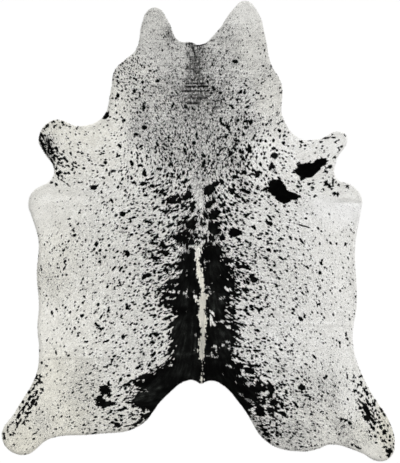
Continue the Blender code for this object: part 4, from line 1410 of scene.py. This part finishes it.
def hair_material(group):
    """Fine lines run along each lying hair, and every hair has its own."""
    material, nodes, links, shader = new_material("lying cow hair", 0.02)
    colour = new_node(nodes, "VertexColor", layer_name="coat")
    strand = new_node(nodes, "Attribute", attribute_name="strand")
    drawn_out = new_node(nodes, "VectorMath", operation="MULTIPLY")
    drawn_out.inputs[1].default_value = (1.0, 0.25, 40.0)
    links.new(strand.outputs["Vector"], drawn_out.inputs[0])
    lines = uneven(nodes, links, group, drawn_out.outputs[0], colour.outputs["Color"],
                   Scale=2.6, Depth=0.5, Smoothest=0.45, Roughest=0.70)
    finish_surface(nodes, links, shader, lines, 0.0003)
    return material


def leather_material(group):
    """Broad blotches and a fine nap. The colour attribute tells the skin from the suede side."""
    material, nodes, links, shader = new_material("tanned skin and suede", 0.05)
    colour = new_node(nodes, "VertexColor", layer_name="coat")
    place = new_node(nodes, "TexCoord").outputs["Object"]
    blotches = uneven(nodes, links, group, place, colour.outputs["Color"],
                      Scale=14.0, Depth=0.30, Smoothest=0.7, Roughest=0.95)
    nap = uneven(nodes, links, group, place, blotches["Colour"],
                 Scale=420.0, Depth=0.35, Smoothest=0.72, Roughest=0.98)
    finish_surface(nodes, links, shader, nap, 0.0008)
    return material


def floor_material():
    material, _, _, shader = new_material("pale studio floor", 0.1)
    shader.inputs["Base Color"].default_value = (FLOOR_GREY, FLOOR_GREY, FLOOR_GREY, 1)
    shader.inputs["Roughness"].default_value = 0.9
    return material


# ------------------------------------------------------------------ the studio
def make_floor():
    bpy.ops.mesh.primitive_plane_add(size=FLOOR_SIZE, location=(0, 0, -FLOOR_DROP))
    floor = bpy.context.object
    floor.name = "studio_floor"
    floor.data.materials.append(floor_material())
    return floor


def light_studio():
    """An even white sky, and a wide soft lamp over the head end."""
    world = bpy.data.worlds.new("studio")
    bpy.context.scene.world = world
    world.use_nodes = True
    background = world.node_tree.nodes["Background"]
    background.inputs["Color"].default_value = (1.0, 1.0, 1.0, 1)
    background.inputs["Strength"].default_value = SKY_STRENGTH
    light = bpy.data.lights.new("window light", "SUN")
    light.energy = LAMP_STRENGTH
    light.angle = np.radians(LAMP_WIDTH)
    item = bpy.data.objects.new("window light", light)
    item.rotation_euler = np.radians(LAMP_TILT)
    bpy.context.scene.collection.objects.link(item)
    bpy.context.scene.view_settings.view_transform = "Standard"


def place_camera():
    """Looks straight down, as wide as the picture, from far enough to show no perspective."""
    data = bpy.data.cameras.new("camera")
    data.sensor_fit = "HORIZONTAL"
    data.sensor_width = CAMERA_SENSOR
    data.lens = CAMERA_SENSOR * CAMERA_HEIGHT / (PICTURE_U * PIXEL)
    data.clip_end = CAMERA_SEES
    camera = bpy.data.objects.new("camera", data)
    x, y = to_hide(PICTURE_U / 2, PICTURE_V / 2)
    camera.location = (x, y, CAMERA_HEIGHT)
    bpy.context.scene.collection.objects.link(camera)
    bpy.context.scene.camera = camera


# ------------------------------------------------------------------ the rug
def main():
    edge = hide_edge(bpy.data.objects["cowhide"])
    footprint = Footprint(edge)
    coat = Coat()
    lay = Lay(footprint)

    group = unevenness()
    hide = make_leather(edge, footprint, coat, lay, leather_material(group))
    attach(hide, "root")
    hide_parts("cowhide")

    hairs = grow_hair(edge, footprint, coat)
    hair = hair_material(group)
    for name, part in zip(STRIPS, np.array_split(hairs, len(STRIPS))):
        strip = hair_strip("hair_" + name, part, lay, hair)
        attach(strip, "root")

    make_floor()
    light_studio()
    place_camera()


main()
